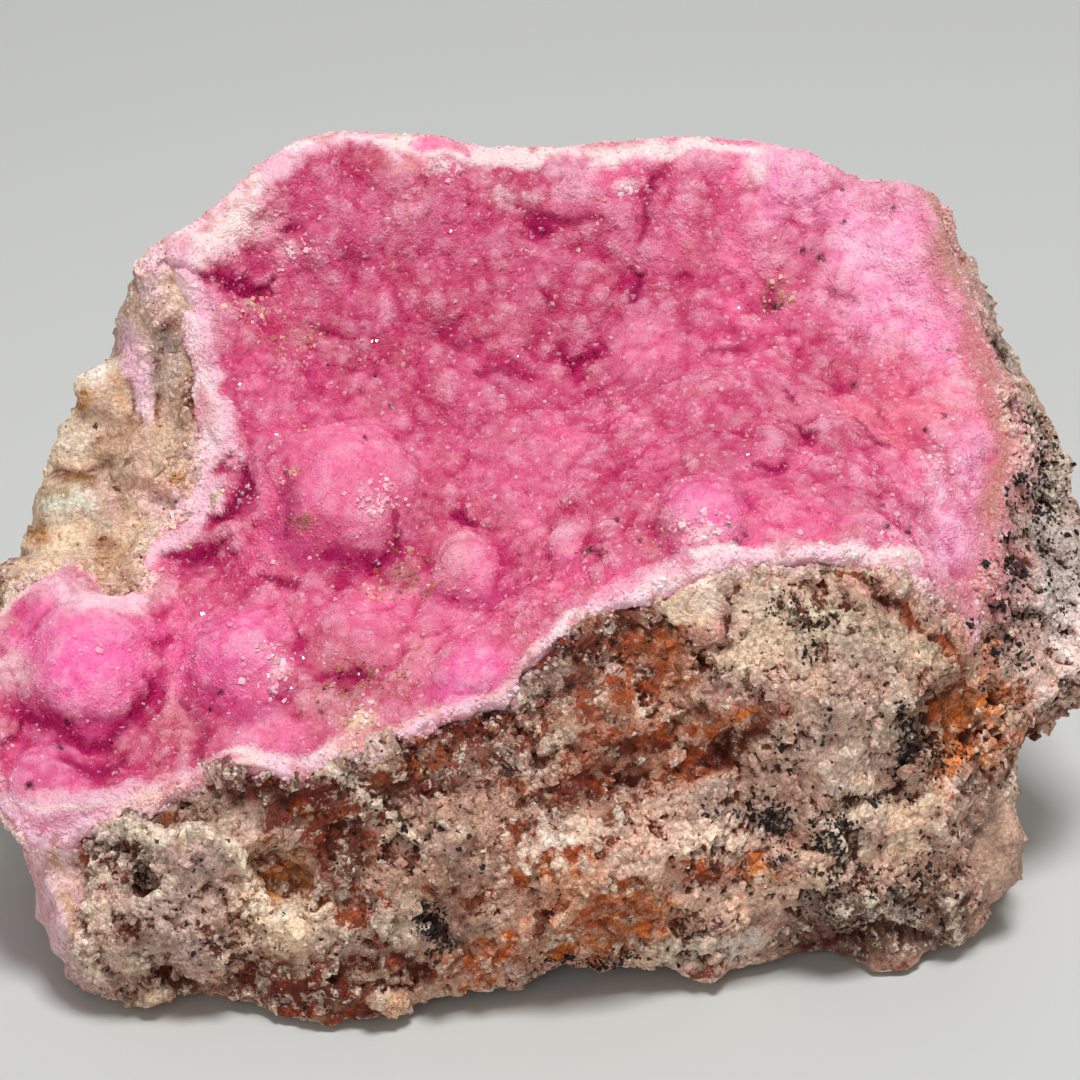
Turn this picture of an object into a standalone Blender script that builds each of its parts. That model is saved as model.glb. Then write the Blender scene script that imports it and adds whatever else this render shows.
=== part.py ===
"""Cobaltoan calcite specimen: a broken piece of host rock with a dished top, lined with a pink crystal crust.

Two pieces: host_rock, which the specimen rests on, and calcite_crust, which lines the dish. +X runs along the
long side, +Y away from the front face, +Z up. All lengths in the tables are millimetres.
"""

import math
import random

import bmesh
import bpy
import numpy as np
from mathutils import Vector, noise
from mathutils.geometry import delaunay_2d_cdt

MM = 0.001
SEED = 20

# Crust: its thickness square to the dish, how much more that may measure straight down, the height of its
# broken edge, the clearance to the rock under it, and the spacing of the points on its two sides.
CRUST_THICKNESS = 1.7
CRUST_STEEPEST = 2.4
CRUST_EDGE = 0.6
GAP = 0.3
CRUST_SPACING = 1.3
CRUST_BACK_SPACING = 3.5
LUMP_STEEPNESS = 0.8
SMALL_LUMPS = 120
SMALL_LUMP_RADIUS = (1.6, 3.0)
SMALL_LUMP_HEIGHT = (0.4, 1.0)

# Rock: rows of points down its faces, the size of its chips and ledges, and its hollowed underside, which
# stands on four flat pads.
SIDE_ROWS = 16
CHIP_SIZE = 5.5
LEDGE_HEIGHT = 5.5
FOOT_SPACING = 4.6
FOOT_HOLLOW = 2.6
FOOT_RISE = 5.0
PAD_RADIUS = 4.0
PADS = ((-30, -16.5), (24, -11), (-28, 10), (27, 10))

# Both: how far outline points stray, and how many points are tried when filling an outline.
RAGGED = 0.5
TRIES = 20000

# Columns in each face of the outline: front, right, back, left.
FACE_COLUMNS = (56, 26, 30, 38)

# The inner edge of the crust, where its crystals start. It goes round the dish from the front left corner.
LIP = (
    ((-41.5, -21.5, 17.5), (-37.5, -23, 18), (-33.5, -23.5, 19), (-29, -24, 20.5), (-26, -23.5, 22),
     (-23, -23, 22.5), (-20, -24, 21.5), (-17, -23.5, 23), (-13, -23, 24), (-8, -22, 26), (-4, -21, 27),
     (-1, -19.5, 30), (3.5, -18, 33), (9, -17, 35), (14.5, -16, 37), (20.5, -15, 36.5), (26, -14, 36.5),
     (30.5, -13.5, 34.5), (34.5, -11, 30)),
    ((34.5, -11, 30), (36.5, -5.5, 31.5), (38, -1, 34), (39.5, 4, 38), (38.5, 8, 42), (36, 12.5, 47.5),
     (34.5, 16.5, 52), (34, 18.5, 54.5)),
    ((34, 18.5, 54.5), (31.5, 20, 55), (28, 21, 54.5), (25, 22.5, 55.5), (21.5, 23, 57.5), (19, 22, 55),
     (17, 22, 56), (13, 22.5, 56.5), (8.5, 22.5, 56.5), (5, 22, 56.5), (1.5, 21.5, 55.5), (-1.5, 19.5, 53),
     (-5, 21.5, 56.5), (-8.5, 21.5, 57.5), (-12, 21, 57), (-16.5, 21, 58), (-20, 20.5, 58), (-22, 19, 56),
     (-24, 17.5, 53.5), (-27, 15, 51), (-30.5, 12.5, 50)),
    ((-30.5, 12.5, 50), (-29.5, 11, 47.5), (-27.5, 9, 44.5), (-27, 6, 40.5), (-27.5, 4, 38),
     (-27, 2.5, 35), (-28, 1, 32.5), (-32, -1.5, 29), (-33, -3.5, 27.5), (-36, -5, 26.5), (-38.5, -4.5, 28),
     (-40.5, -3.5, 28.5), (-43, -5, 27.5), (-45, -7, 26.5), (-45.5, -11.5, 22.5), (-44.5, -17, 19.5),
     (-41.5, -21.5, 17.5)),
)

# The outer edge of the crust, where it breaks off at the rock.
RIM = (
    ((-41.5, -24, 14.5), (-38, -24.5, 15), (-33.5, -24.8, 18), (-28.5, -25, 20), (-25.5, -24.5, 21.8),
     (-22.5, -24, 22.3), (-20, -25, 21), (-17, -24.4, 22.5), (-13, -24, 23.5), (-8, -23, 25.5),
     (-3, -21.8, 26.5), (-0.5, -20.4, 29.8), (4, -18.8, 32.7), (9, -17.8, 34.5), (14.5, -16.8, 36.2),
     (21, -16, 36), (26, -15, 36), (30, -14.5, 33.8), (36, -11.5, 28)),
    ((36, -11.5, 28), (38, -6.5, 30.5), (39.5, -0.8, 33.7), (41, 4.5, 37.5), (40, 9, 42), (37.5, 13.5, 47),
     (35.5, 18, 51.5), (35, 20, 54.3)),
    ((35, 20, 54.3), (32, 21.5, 55.2), (28, 23, 54.7), (25, 24.5, 55.7), (21.5, 25, 57.8), (13, 25.5, 58.2),
     (7, 25, 57.8), (-1, 24.5, 57.8), (-5.5, 24, 57.8), (-9, 24, 58.7), (-15, 23.5, 59.2),
     (-20, 22.5, 58.7), (-24, 20.5, 56.6), (-29, 17, 53), (-33, 14.5, 51.5)),
    ((-33, 14.5, 51.5), (-32.5, 12.5, 47.5), (-30.5, 10, 44), (-29.5, 6.5, 40.5), (-29, 4, 37),
     (-30, 2.4, 33.5), (-33, 0.4, 30.5), (-35, -2, 28.5), (-36.5, -3.4, 27.6), (-38, -2, 29),
     (-39.5, -0.6, 29.6), (-42.5, -3, 28.2), (-45.8, -6, 26.8), (-46.8, -11.5, 22), (-45.8, -18, 18.5),
     (-43.6, -22, 15.8), (-41.5, -24, 14.5)),
)

# The four broken faces below the rim, each by three lines: its shoulder, its lower bulge and its foot.
SHOULDER = (
    ((-39.7, -26, 10), (-34, -27, 12.5), (-27, -27.5, 14), (-20, -26, 14.5), (-13, -26.5, 16), (-5, -26, 18),
     (3, -24.5, 22.5), (11, -22.5, 24.5), (19, -20.5, 25.5), (28, -18.5, 24.5), (38.5, -12, 18)),
    ((38.5, -12, 18), (42.5, -7.5, 19.5), (46.5, -3, 20), (49, 1, 22), (48, 6, 26.5), (46, 10, 30),
     (43.5, 15, 34), (40.5, 20, 37)),
    ((40.5, 20, 37), (30, 26, 38), (15, 28, 38), (0, 28, 39), (-15, 27, 39), (-28, 23, 37), (-38.5, 17, 37)),
    ((-38.5, 17, 37), (-41, 13.5, 37), (-43, 10, 33.5), (-44, 6.5, 30), (-45, 2.5, 27.5), (-46.5, -3, 24.5),
     (-47.5, -8, 20), (-46, -14, 16.5), (-42.5, -21, 13), (-39.7, -26, 10)),
)
BULGE = (
    ((-38.5, -26.5, 5), (-34, -27.5, 5.5), (-27, -28.5, 6), (-20, -29, 6), (-13, -29.5, 7), (-5, -28.5, 9),
     (3, -27, 11), (11, -25.5, 12), (19, -23.5, 12), (28, -21, 10), (38, -13.5, 8)),
    ((38, -13.5, 8), (39.5, -9, 11), (41, -5, 13), (41.5, 0, 14), (41.5, 6, 14), (41, 12, 14), (39, 18, 15)),
    ((39, 18, 15), (30, 24, 16), (15, 26, 17), (0, 27, 17), (-15, 26, 17), (-30, 22, 16), (-41, 16, 15)),
    ((-41, 16, 15), (-45, 8, 16), (-46.5, 0, 15), (-45, -8, 12), (-42, -16, 8.5), (-40, -22, 6.5),
     (-38.5, -26.5, 5)),
)
FOOT = (
    ((-39.5, -22.5, 0.8), (-36.5, -24.5, 0.4), (-34, -24.5, 0.3), (-31, -22.5, 0.6), (-26.5, -25.5, 0.5),
     (-21, -29.5, 0.5), (-17, -30.5, 0.5), (-13.5, -29.5, 0.6), (-9, -27.5, 0.8), (-3.5, -25, 1),
     (1.5, -23.5, 1), (8, -22, 1), (13, -23.5, 0.6), (18.5, -20.5, 0.6), (23.5, -18, 0.3), (27.5, -21.5, 0.3),
     (31.5, -21.5, 0.5), (35.5, -16, 1)),
    ((35.5, -16, 1), (39.5, -9.5, 1.2), (41.5, -4, 1.5), (41.5, 2, 1.2), (40, 9, 0.8), (37, 16, 0.8)),
    ((37, 16, 0.8), (28, 21, 1.2), (14, 23, 2), (0, 24, 2.2), (-14, 23, 2), (-28, 19, 1), (-37, 13, 0.8)),
    ((-37, 13, 0.8), (-41, 6, 1.5), (-42.5, -3, 2), (-42, -12, 1.8), (-40.5, -18, 1), (-39.5, -22.5, 0.8)),
)

# Soundings of the dish inside the lip.
DISH = (
    (0, 11, 41.5), (0, 1, 37.5), (0, -9, 32.5), (14.5, -10, 38), (15, -2, 40), (15.5, 6, 42.5),
    (15.5, 14, 46.5), (15.5, 19, 52), (-20.5, 8, 40), (-16.5, -1, 35.5), (-25, 16, 47),
    (-28.5, -1.5, 29.5), (-37.5, -12, 23), (-25, -12, 25), (-32, -15.5, 21), (-42, -15, 19),
    (-39, -19.5, 18), (-15.5, -13.5, 27.5), (-6.5, -8, 30.5), (-16, -19, 25), (-5.5, -18, 27.5),
    (31, 14, 46.5), (29, 6, 40.5), (30, -5, 36.5), (34, -2, 37), (24.5, 17.5, 50), (27, 19.5, 52.5),
    (7, 16.5, 46.5), (-10.5, 17.5, 50), (-12, 13, 44.5), (2.5, 11.5, 41.5), (-19, 17.5, 52),
    (-24.5, 10, 43), (-24, 0.5, 35.5),
)

# Rounded lumps of the crust: x, y, radius, height.
LUMPS = (
    (-16.5, -1, 6.4, 2.4), (-6, -7, 3.2, 2), (2, -8.5, 1.7, 1.2), (13, -10.5, 3.8, 2.4),
    (-25, -12, 4.7, 2.8), (-37.5, -11, 6, 3.2), (-40, -19, 3, 1.2), (-5.5, -18, 3.4, 1.8),
    (-22.5, -21, 2.4, 1), (-15.5, -13, 3.1, 1.4), (19, -2.5, 1.9, 1), (-12, -1.5, 2.6, 2.2),
    (-20.5, 0.5, 3.4, 1.8), (-9, -3, 2.6, 1), (-1.5, -15.5, 3.4, 1.1), (-30.5, -1, 2.6, 1),
    (-19, -8, 2.4, 1), (26.5, -4.5, 2.4, 0.9), (24.5, 0, 2.2, 0.9), (29, 6.5, 2.6, 1),
    (13.5, 4.5, 2.7, 1), (9.5, 4.5, 2.4, 0.9), (18.5, 6, 2.2, 0.9), (1.5, 4.5, 2.6, 0.9),
    (8.5, 12.5, 2, 1.2), (8.5, 15.5, 1.7, 1.2), (-8.5, 15, 2, 1.3), (-3.5, 12, 2.2, 1),
    (4.5, 16, 2.2, 1.1), (14, 14.5, 2.4, 1.2), (19, 18.5, 2.6, 1.2), (13, 20.5, 2, 1),
    (-12, 19, 2.2, 1.2), (-18, 17, 2.6, 1.3), (-14.5, 12.5, 2.6, 1.3), (-22.5, 9, 2.2, 1.1),
    (-7.5, 8, 2.4, 1), (27, 15, 2.2, 1.1), (31, 16.5, 2.6, 1), (22.5, 21, 2.2, 0.9),
    (-34, -4.5, 2.6, 1.2), (-40.5, -6.5, 2.7, 1.4), (-29.5, -14, 2.2, 0.9), (-34.5, -16.5, 2.2, 0.8),
    (-19.5, -18, 2, 1), (-17.5, -5, 2.6, 0.9),
)

# Pits in the crust: x, y, radius, depth.
PITS = (
    (-27, 13, 1.8, 1.1), (-25, 12, 1.8, 1.1), (-25.5, 1.5, 1.5, 1), (0, 19, 1.7, 1), (8, 16.5, 1.2, 0.8),
    (3, 12, 1.6, 1), (-6, -3, 1.2, 0.8), (-28, -2, 1.4, 0.9), (-21, -7, 1.4, 0.9), (-15.5, -17, 1.6, 1),
    (22.5, 1.5, 1.2, 0.8), (20.5, 14, 1.3, 0.9), (-32.5, -15.5, 1.9, 1.2), (-38, -15.5, 1.6, 0.8),
    (-17.5, -7.5, 2, 1.2), (-13.5, -7, 1.5, 0.9), (-22, -9.5, 1.5, 0.9), (-31, -8.5, 1.4, 0.9),
)

# Swellings (height above zero) and hollows (below zero) of the broken faces: x, y, z, radius, height. On the
# front they are the big bulge, the recess beside it, the ridge round a hollow, the pits, grooves and shelves,
# and the lumps that overhang the foot.
FRONT_RELIEF = (
    (24.5, -20, 30, 9.4, 2), (35, -14, 20, 3.8, -2.2), (29.5, -19, 21.5, 1.8, -1.1),
    (-21.5, -26.5, 12.5, 3, -1.9), (-30.5, -26, 16, 1.6, 0.9), (-27, -26.5, 16.5, 1.6, 1),
    (-24, -26, 14, 1.6, 1), (-23, -27, 11, 1.6, 1), (-20, -28, 9, 1.6, 1), (-16.5, -28, 10, 1.6, 0.9),
    (-34, -27.5, 9.5, 5.1, 1.1), (-32, -27, 12.5, 1.3, -1), (-34, -26, 14, 1.3, -1),
    (-25, -28.5, 5, 2.4, -1.4), (-20, -29, 5.5, 2.6, -1.5), (-16, -29.5, 5, 2.2, -1.3),
    (-30, -27.5, 4, 1.7, -2), (18.5, -22, 25, 1.9, -1), (15.5, -22, 23, 1.9, -1),
    (11.5, -23, 22, 2, -1.1), (7, -24, 20.5, 2, -1), (4, -25, 20, 1.9, -0.8), (8, -19.5, 30, 3.8, -1),
    (5, -20.5, 28.5, 2.8, -0.8), (13.5, -20.5, 28.5, 1.2, -1), (12, -18, 33.5, 2.6, 0.7),
    (4, -27.5, 14, 3.1, 0.9), (-11.5, -28.5, 9.5, 2, 1.2), (-8, -29, 10, 1.3, -1),
    (-5.5, -22.5, 25, 2.7, -1.2), (-1.5, -22.5, 25.5, 2.2, -1), (-1, -24.5, 21.5, 2.6, 0.7),
    (27, -20.5, 7.5, 4.2, 1.5), (35, -16, 6.5, 3.6, 1.6), (39, -13.5, 7, 3.2, 2.2),
    (41.5, -10.5, 6.5, 2.8, 1.6), (26, -19, 1.5, 2.9, -1.6), (31.5, -19, 1.5, 2.6, -1.2),
    (13.5, -22.5, 2, 1.8, 1.6), (19.5, -23.5, 15.5, 2.6, -0.9), (24.5, -22.5, 14.5, 1.9, -0.9),
    (13, -25, 14.5, 2.8, 0.8), (8, -24.5, 6.5, 2.8, 0.7), (-3, -27.5, 13, 2.8, 0.7),
    (-8, -26.5, 17, 2.9, 0.9), (-14.5, -25.5, 19, 2.9, -0.7), (-19.5, -25, 17, 3.1, 0.9),
)
SIDE_RELIEF = (
    (42, -6.5, 24, 3.4, 1), (45, 0.5, 28, 2.9, -0.8), (43, -7, 19.5, 2, 1), (48, 2, 21, 3, 0.8),
    (-32, 10.5, 42.5, 2, 0.9), (-34.5, 10, 40, 1.6, -0.9), (-38, 12.5, 40, 2.2, 1.2),
    (-39, 7, 34, 2.2, -0.9), (-33.5, 5, 34.5, 2.2, 0.9), (-43, 5, 30, 2.4, 1),
    (-40.5, 4, 30.5, 1.6, -0.9), (-33.5, 13.5, 47, 2, 0.8), (-46.5, 0, 18, 5, 1), (-43, 12, 24, 4, -1.2),
    (-42, -12, 6, 3, -1), (44, 10, 22, 4.5, 1.2),
)
BACK_RELIEF = (
    (20, 27, 40, 7, 1.5), (24, 25, 20, 5, -1.8), (5, 27.5, 28, 8, 1.6), (-8, 27, 45, 5, -1.4),
    (-20, 25, 26, 6, 1.5), (-30, 21, 42, 4.5, 1), (34, 22, 30, 4, -1.4), (-5, 26, 12, 5, -1.5),
    (12, 24, 6, 4, 1), (-33, 18, 14, 4, -1.2),
)
RELIEF = FRONT_RELIEF + SIDE_RELIEF + BACK_RELIEF


def lump(distance, radius, height):
    """Rounded swelling with a steep edge."""
    within = np.clip(1 - (distance / radius) ** 2, 0, 1)
    return height * within**LUMP_STEEPNESS


def resample(line, count):
    """Points at equal steps along an open line of 3-D points, its last one left to the next line."""
    points = np.array(line, dtype=float)
    steps = np.linalg.norm(np.diff(points, axis=0), axis=1)
    along = np.concatenate(([0], np.cumsum(steps)))
    wanted = np.linspace(0, along[-1], count, endpoint=False)
    return np.stack([np.interp(wanted, along, points[:, axis]) for axis in range(3)], axis=1)


def ring(lines):
    """One closed ring of columns from the lines of the four faces."""
    return np.concatenate([resample(line, count) for line, count in zip(lines, FACE_COLUMNS)])


def ragged(columns, amount):
    """A ring of columns with each one nudged by noise."""
    nudges = [amount * noise.noise_vector(Vector(point) / 2.5) for point in columns]
    return columns + np.array([tuple(nudge) for nudge in nudges])


def stretched_sheet(points):
    """Thin-plate sheet through 3-D points: its height at any x, y arrays."""
    known = np.array(points, dtype=float)
    count = len(known)

    def bend(x, y):
        square = (x[:, None] - known[None, :, 0]) ** 2 + (y[:, None] - known[None, :, 1]) ** 2
        return 0.5 * square * np.log(square + 1e-9)

    flat = np.column_stack([np.ones(count), known[:, 0], known[:, 1]])
    system = np.zeros((count + 3, count + 3))
    system[:count, :count] = bend(known[:, 0], known[:, 1]) + 0.5 * np.eye(count)
    system[:count, count:] = flat
    system[count:, :count] = flat.T
    weights = np.linalg.solve(system, np.concatenate([known[:, 2], np.zeros(3)]))

    def height(x, y):
        tilt = weights[count] + weights[count + 1] * x + weights[count + 2] * y
        return bend(x, y) @ weights[:count] + tilt

    return height


def inside(x, y, outline):
    """Which points lie inside a closed plan outline."""
    result = np.zeros(len(x), dtype=bool)
    following = np.roll(outline, -1, axis=0)
    for (x0, y0), (x1, y1) in zip(outline[:, :2], following[:, :2]):
        crosses = (y0 > y) != (y1 > y)
        result ^= crosses & (x < (x1 - x0) * (y - y0) / (y1 - y0 + 1e-12) + x0)
    return result


def scatter(outline, height, spacing, first, chance):
    """Points inside an outline, spaced out in space: the given ones first, which may lie closer together."""
    low = outline[:, :2].min(axis=0)
    high = outline[:, :2].max(axis=0)
    tries = np.array([[chance.uniform(low[0], high[0]), chance.uniform(low[1], high[1])]
                      for _ in range(TRIES)])
    plan = np.concatenate([np.array(first, dtype=float).reshape(-1, 2), tries])
    apart = np.where(np.arange(len(plan)) < len(first), 0.6 * spacing, spacing)
    within = inside(plan[:, 0], plan[:, 1], outline)
    plan, apart = plan[within], apart[within]
    candidates = np.column_stack([plan, height(plan[:, 0], plan[:, 1])])
    following = np.roll(outline, -1, axis=0)
    border = np.concatenate([outline * (1 - share) + following * share for share in (0, 0.33, 0.67)])
    taken = np.empty((len(border) + len(candidates), 3))
    taken[: len(border)] = border
    used = len(border)
    for point, least in zip(candidates, apart):
        if np.linalg.norm(taken[:used] - point, axis=1).min() > least:
            taken[used] = point
            used += 1
    return taken[len(border) : used]


def triangles(outline, inner):
    """Triangles, seen from above, over a closed outline and the points inside it."""
    plan = np.concatenate([outline[:, :2], inner[:, :2]])
    made = delaunay_2d_cdt([Vector(point) for point in plan], [], [], 0, 1e-5, False)
    faces = np.array(made[2])
    a, b, c = (plan[faces[:, corner]] for corner in range(3))
    turn = (b[:, 0] - a[:, 0]) * (c[:, 1] - a[:, 1]) - (b[:, 1] - a[:, 1]) * (c[:, 0] - a[:, 0])
    faces[turn < 0] = faces[turn < 0][:, ::-1]
    middle = (a + b + c) / 3
    kept = inside(middle[:, 0], middle[:, 1], outline)
    count = len(outline)
    for corner in range(3):
        here, there = faces[:, corner], faces[:, (corner + 1) % 3]
        on_border = (here < count) & (there < count)
        kept[on_border & ((there - here) % count == 1)] = True
        kept[on_border & ((here - there) % count == 1)] = False
    return [tuple(face) for face in faces[kept].tolist()]


def dish_surface():
    """Height of the smooth dish under the crust's lumps."""
    return stretched_sheet([point for line in LIP for point in line[:-1]] + list(DISH))


def crust_lumps(chance):
    """The named lumps and pits, and small lumps spread over the dish."""
    low, high = np.array([-46, -24]), np.array([41, 24])
    small = []
    for _ in range(SMALL_LUMPS):
        x, y = chance.uniform(low[0], high[0]), chance.uniform(low[1], high[1])
        small.append((x, y, chance.uniform(*SMALL_LUMP_RADIUS), chance.uniform(*SMALL_LUMP_HEIGHT)))
    return list(LUMPS) + small


def crust_heights(dish, lumps):
    """Height of the crust's top at any x, y arrays."""

    def height(x, y):
        rise = np.zeros_like(x)
        for cx, cy, radius, tall in lumps:
            rise = np.maximum(rise, lump(np.hypot(x - cx, y - cy), radius, tall))
        for cx, cy, radius, deep in PITS:
            rise -= lump(np.hypot(x - cx, y - cy), radius, deep)
        return dish(x, y) + rise

    return height


def lump_rings():
    """Plan points on the lumps: the centre and two rings of each."""
    points = []
    for x, y, radius, _ in LUMPS:
        points.append((x, y))
        for share in (0.55, 1.02):
            around = max(6, round(2 * math.pi * radius * share / CRUST_SPACING))
            for i in range(around):
                turn = 2 * math.pi * i / around + share
                points.append((x + radius * share * math.cos(turn), y + radius * share * math.sin(turn)))
    return points


def crust_depths(dish, outline):
    """Height of the crust's underside at any x, y arrays: a constant thickness square to the dish."""

    def height(x, y):
        step = 0.5
        slope_x = (dish(x + step, y) - dish(x - step, y)) / (2 * step)
        slope_y = (dish(x, y + step) - dish(x, y - step)) / (2 * step)
        steep = np.minimum(np.sqrt(1 + slope_x**2 + slope_y**2), CRUST_STEEPEST)
        return dish(x, y) - CRUST_THICKNESS * steep

    return height


def new_object(name, points, faces, colour, roughness):
    """One closed piece from points in millimetres."""
    mesh = bpy.data.meshes.new(name)
    mesh.from_pydata([tuple(float(value) * MM for value in point) for point in points], [], faces)
    mesh.update()
    piece = bpy.data.objects.new(name, mesh)
    bpy.context.scene.collection.objects.link(piece)
    material = bpy.data.materials.new(name)
    material.use_nodes = True
    surface = material.node_tree.nodes["Principled BSDF"]
    surface.inputs["Base Color"].default_value = (*colour, 1)
    surface.inputs["Roughness"].default_value = roughness
    surface.inputs["Metallic"].default_value = 0
    mesh.materials.append(material)
    return piece


def band(upper, lower, count):
    """Triangles between two rings of columns, facing out; upper and lower are first indices."""
    faces = []
    for i in range(count):
        j = (i + 1) % count
        faces.append((lower + i, lower + j, upper + j))
        faces.append((lower + i, upper + j, upper + i))
    return faces


def calcite_crust(dish, lip, rim, under, inner_back, chance):
    """The pink crust: a lumpy top inside the lip, a broken edge, and a back that fits the rock."""
    top = crust_heights(dish, crust_lumps(chance))
    inner = scatter(lip, top, CRUST_SPACING, lump_rings(), chance)
    count = len(lip)
    points = np.concatenate([lip, inner, rim, under, inner_back])
    first_rim = count + len(inner)
    first_under = first_rim + count
    faces = triangles(lip, inner)
    faces += band(0, first_rim, count)
    faces += band(first_rim, first_under, count)
    back = triangles(under, inner_back)
    faces += [(first_under + a, first_under + c, first_under + b) for a, b, c in back]
    return new_object("calcite_crust", points, faces, (0.62, 0.12, 0.26), 0.35)


def through(a, b, c, d, share):
    """Point at share (0 to 1) on a smooth curve through four points at equal steps."""
    place = share * 3
    step = min(int(place), 2)
    t = place - step
    before, here, there, after = ((2 * a - b, a, b, c), (a, b, c, d), (b, c, d, 2 * d - c))[step]
    return 0.5 * (
        2 * here
        + (there - before) * t
        + (2 * before - 5 * here + 4 * there - after) * t**2
        + (3 * here - before - 3 * there + after) * t**3
    )


def rock_noise(point):
    """Broken relief of the rock at a point, in millimetres: swells, tilted chips and ledges."""
    place = Vector(point)
    swell = 1.1 * noise.noise(place / 9) + 0.6 * noise.noise(place / 4.5 + Vector((7, 3, 1)))
    chip = noise.voronoi(place / CHIP_SIZE)[1][0]
    tilt = noise.noise_vector(chip * 3.7)
    chipped = 0.65 * CHIP_SIZE * (place / CHIP_SIZE - chip).dot(tilt)
    bed = place.z + 0.25 * place.x + 1.5 * noise.noise(place / 12)
    ledge = (bed / LEDGE_HEIGHT) % 1
    return swell + chipped + 0.7 * (ledge**2 - 0.33)


def rock_sides(top_ring):
    """Rows of the broken faces from the rim down to the foot, each a ring of columns."""
    lines = [top_ring, ring(SHOULDER), ring(BULGE), ring(FOOT)]
    rows = np.array([through(*lines, i / SIDE_ROWS) for i in range(SIDE_ROWS + 1)])
    across = np.roll(rows, -1, axis=1) - np.roll(rows, 1, axis=1)
    down = np.gradient(rows, axis=0)
    out = np.cross(down, across)
    out /= np.linalg.norm(out, axis=2, keepdims=True)
    for i in range(1, SIDE_ROWS + 1):
        grip = min(1, i / 2.5, 0.35 + (SIDE_ROWS - i) / 3)
        for j in range(rows.shape[1]):
            rise = rock_noise(rows[i, j])
            for x, y, z, radius, height in RELIEF:
                away = np.linalg.norm(rows[i, j] - (x, y, z))
                rise += height * math.exp(-1.4 * (away / radius) ** 2)
            rows[i, j] += out[i, j] * rise * grip
    rows[-1, :, 2] = np.maximum(rows[-1, :, 2], 0.3)
    return rows


def underside(x, y):
    """Height of the hollowed underside, flat at zero on the pads."""
    rise = np.full_like(x, FOOT_HOLLOW)
    for i in range(len(x)):
        rise[i] += 0.8 * noise.noise(Vector((x[i] / 6, y[i] / 6, 5)))
    for px, py in PADS:
        away = np.hypot(x - px, y - py)
        rise *= np.clip((away - PAD_RADIUS) / FOOT_RISE, 0, 1)
    return rise


def pad_rings():
    """Plan points of the flat pads: the centre and the edge of each."""
    points = []
    for x, y in PADS:
        points.append((x, y))
        for i in range(8):
            turn = math.pi * i / 4
            points.append((x + 0.98 * PAD_RADIUS * math.cos(turn), y + 0.98 * PAD_RADIUS * math.sin(turn)))
    return points


def host_rock(top_ring, inner_top, chance):
    """The rock: a dished top under the crust, four broken faces and a hollowed underside on four pads."""
    rows = rock_sides(top_ring)
    count = rows.shape[1]
    foot = rows[-1]
    inner_foot = scatter(foot, underside, FOOT_SPACING, pad_rings(), chance)
    points = np.concatenate([rows.reshape(-1, 3), inner_top, inner_foot])
    first_top = len(rows) * count
    first_foot = first_top + len(inner_top)
    faces = []
    for i in range(SIDE_ROWS):
        faces += band(i * count, (i + 1) * count, count)
    for face in triangles(top_ring, inner_top):
        faces.append(tuple(i if i < count else i - count + first_top for i in face))
    for a, b, c in triangles(foot, inner_foot):
        shifted = [i + SIDE_ROWS * count if i < count else i - count + first_foot for i in (a, c, b)]
        faces.append(tuple(shifted))
    return new_object("host_rock", points, faces, (0.36, 0.25, 0.2), 0.85)


def centre_on_footprint(pieces):
    """Moves the meshes so that the middle of the bounding box's base is the origin."""
    corners = np.array([vertex.co[:] for piece in pieces for vertex in piece.data.vertices])
    low, high = corners.min(axis=0), corners.max(axis=0)
    shift = Vector(((low[0] + high[0]) / 2, (low[1] + high[1]) / 2, low[2]))
    for piece in pieces:
        for vertex in piece.data.vertices:
            vertex.co -= shift
    print("shift, mm:", [round(value / MM, 3) for value in shift], "size, mm:", (high - low) / MM)


def build():
    for piece in list(bpy.data.objects):
        bpy.data.objects.remove(piece)
    noise.seed_set(SEED)
    chance = random.Random(SEED)
    dish = dish_surface()
    lip, rim = ragged(ring(LIP), RAGGED), ragged(ring(RIM), RAGGED)
    under = rim - (0, 0, CRUST_EDGE)
    inner_back = scatter(lip * (0.97, 0.97, 1), crust_depths(dish, under), CRUST_BACK_SPACING, [], chance)
    crust = calcite_crust(dish, lip, rim, under, inner_back, chance)
    rock = host_rock(under - (0, 0, GAP), inner_back - (0, 0, GAP), chance)
    centre_on_footprint([rock, crust])
    for piece in (rock, crust):
        print(piece.name, len(piece.data.polygons), "triangles")


build()
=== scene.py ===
import itertools
import math

import bmesh
import bpy
import numpy as np
from mathutils import Matrix, Vector, kdtree


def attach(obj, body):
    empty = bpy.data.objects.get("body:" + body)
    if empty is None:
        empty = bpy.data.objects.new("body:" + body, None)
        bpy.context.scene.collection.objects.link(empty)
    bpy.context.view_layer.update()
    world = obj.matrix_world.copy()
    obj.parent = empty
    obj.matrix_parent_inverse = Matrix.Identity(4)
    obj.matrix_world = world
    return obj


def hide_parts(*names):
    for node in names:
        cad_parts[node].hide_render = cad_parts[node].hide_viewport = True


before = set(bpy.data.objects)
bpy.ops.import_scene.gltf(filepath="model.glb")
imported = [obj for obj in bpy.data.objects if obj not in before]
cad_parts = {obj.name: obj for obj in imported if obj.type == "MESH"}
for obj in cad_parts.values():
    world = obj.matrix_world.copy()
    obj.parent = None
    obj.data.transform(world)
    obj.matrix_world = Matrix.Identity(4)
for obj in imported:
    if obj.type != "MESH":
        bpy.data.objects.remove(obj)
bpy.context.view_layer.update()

MM = 0.001
SEED = 7
# The place of this file's origin in the part's own millimetres, in which every size below is given.
CENTRE = np.array((0.441, -0.118, 0.0))

# The longest edges of the two skins: fine where they are seen, coarse where they are hidden.
CRUST_EDGE, UNDERSIDE_EDGE = 0.45, 3.0
FRONT_EDGE, SIDE_EDGE, BACK_EDGE, FOOT_EDGE, HIDDEN_EDGE = 0.42, 0.85, 1.15, 1.6, 3.5

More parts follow.
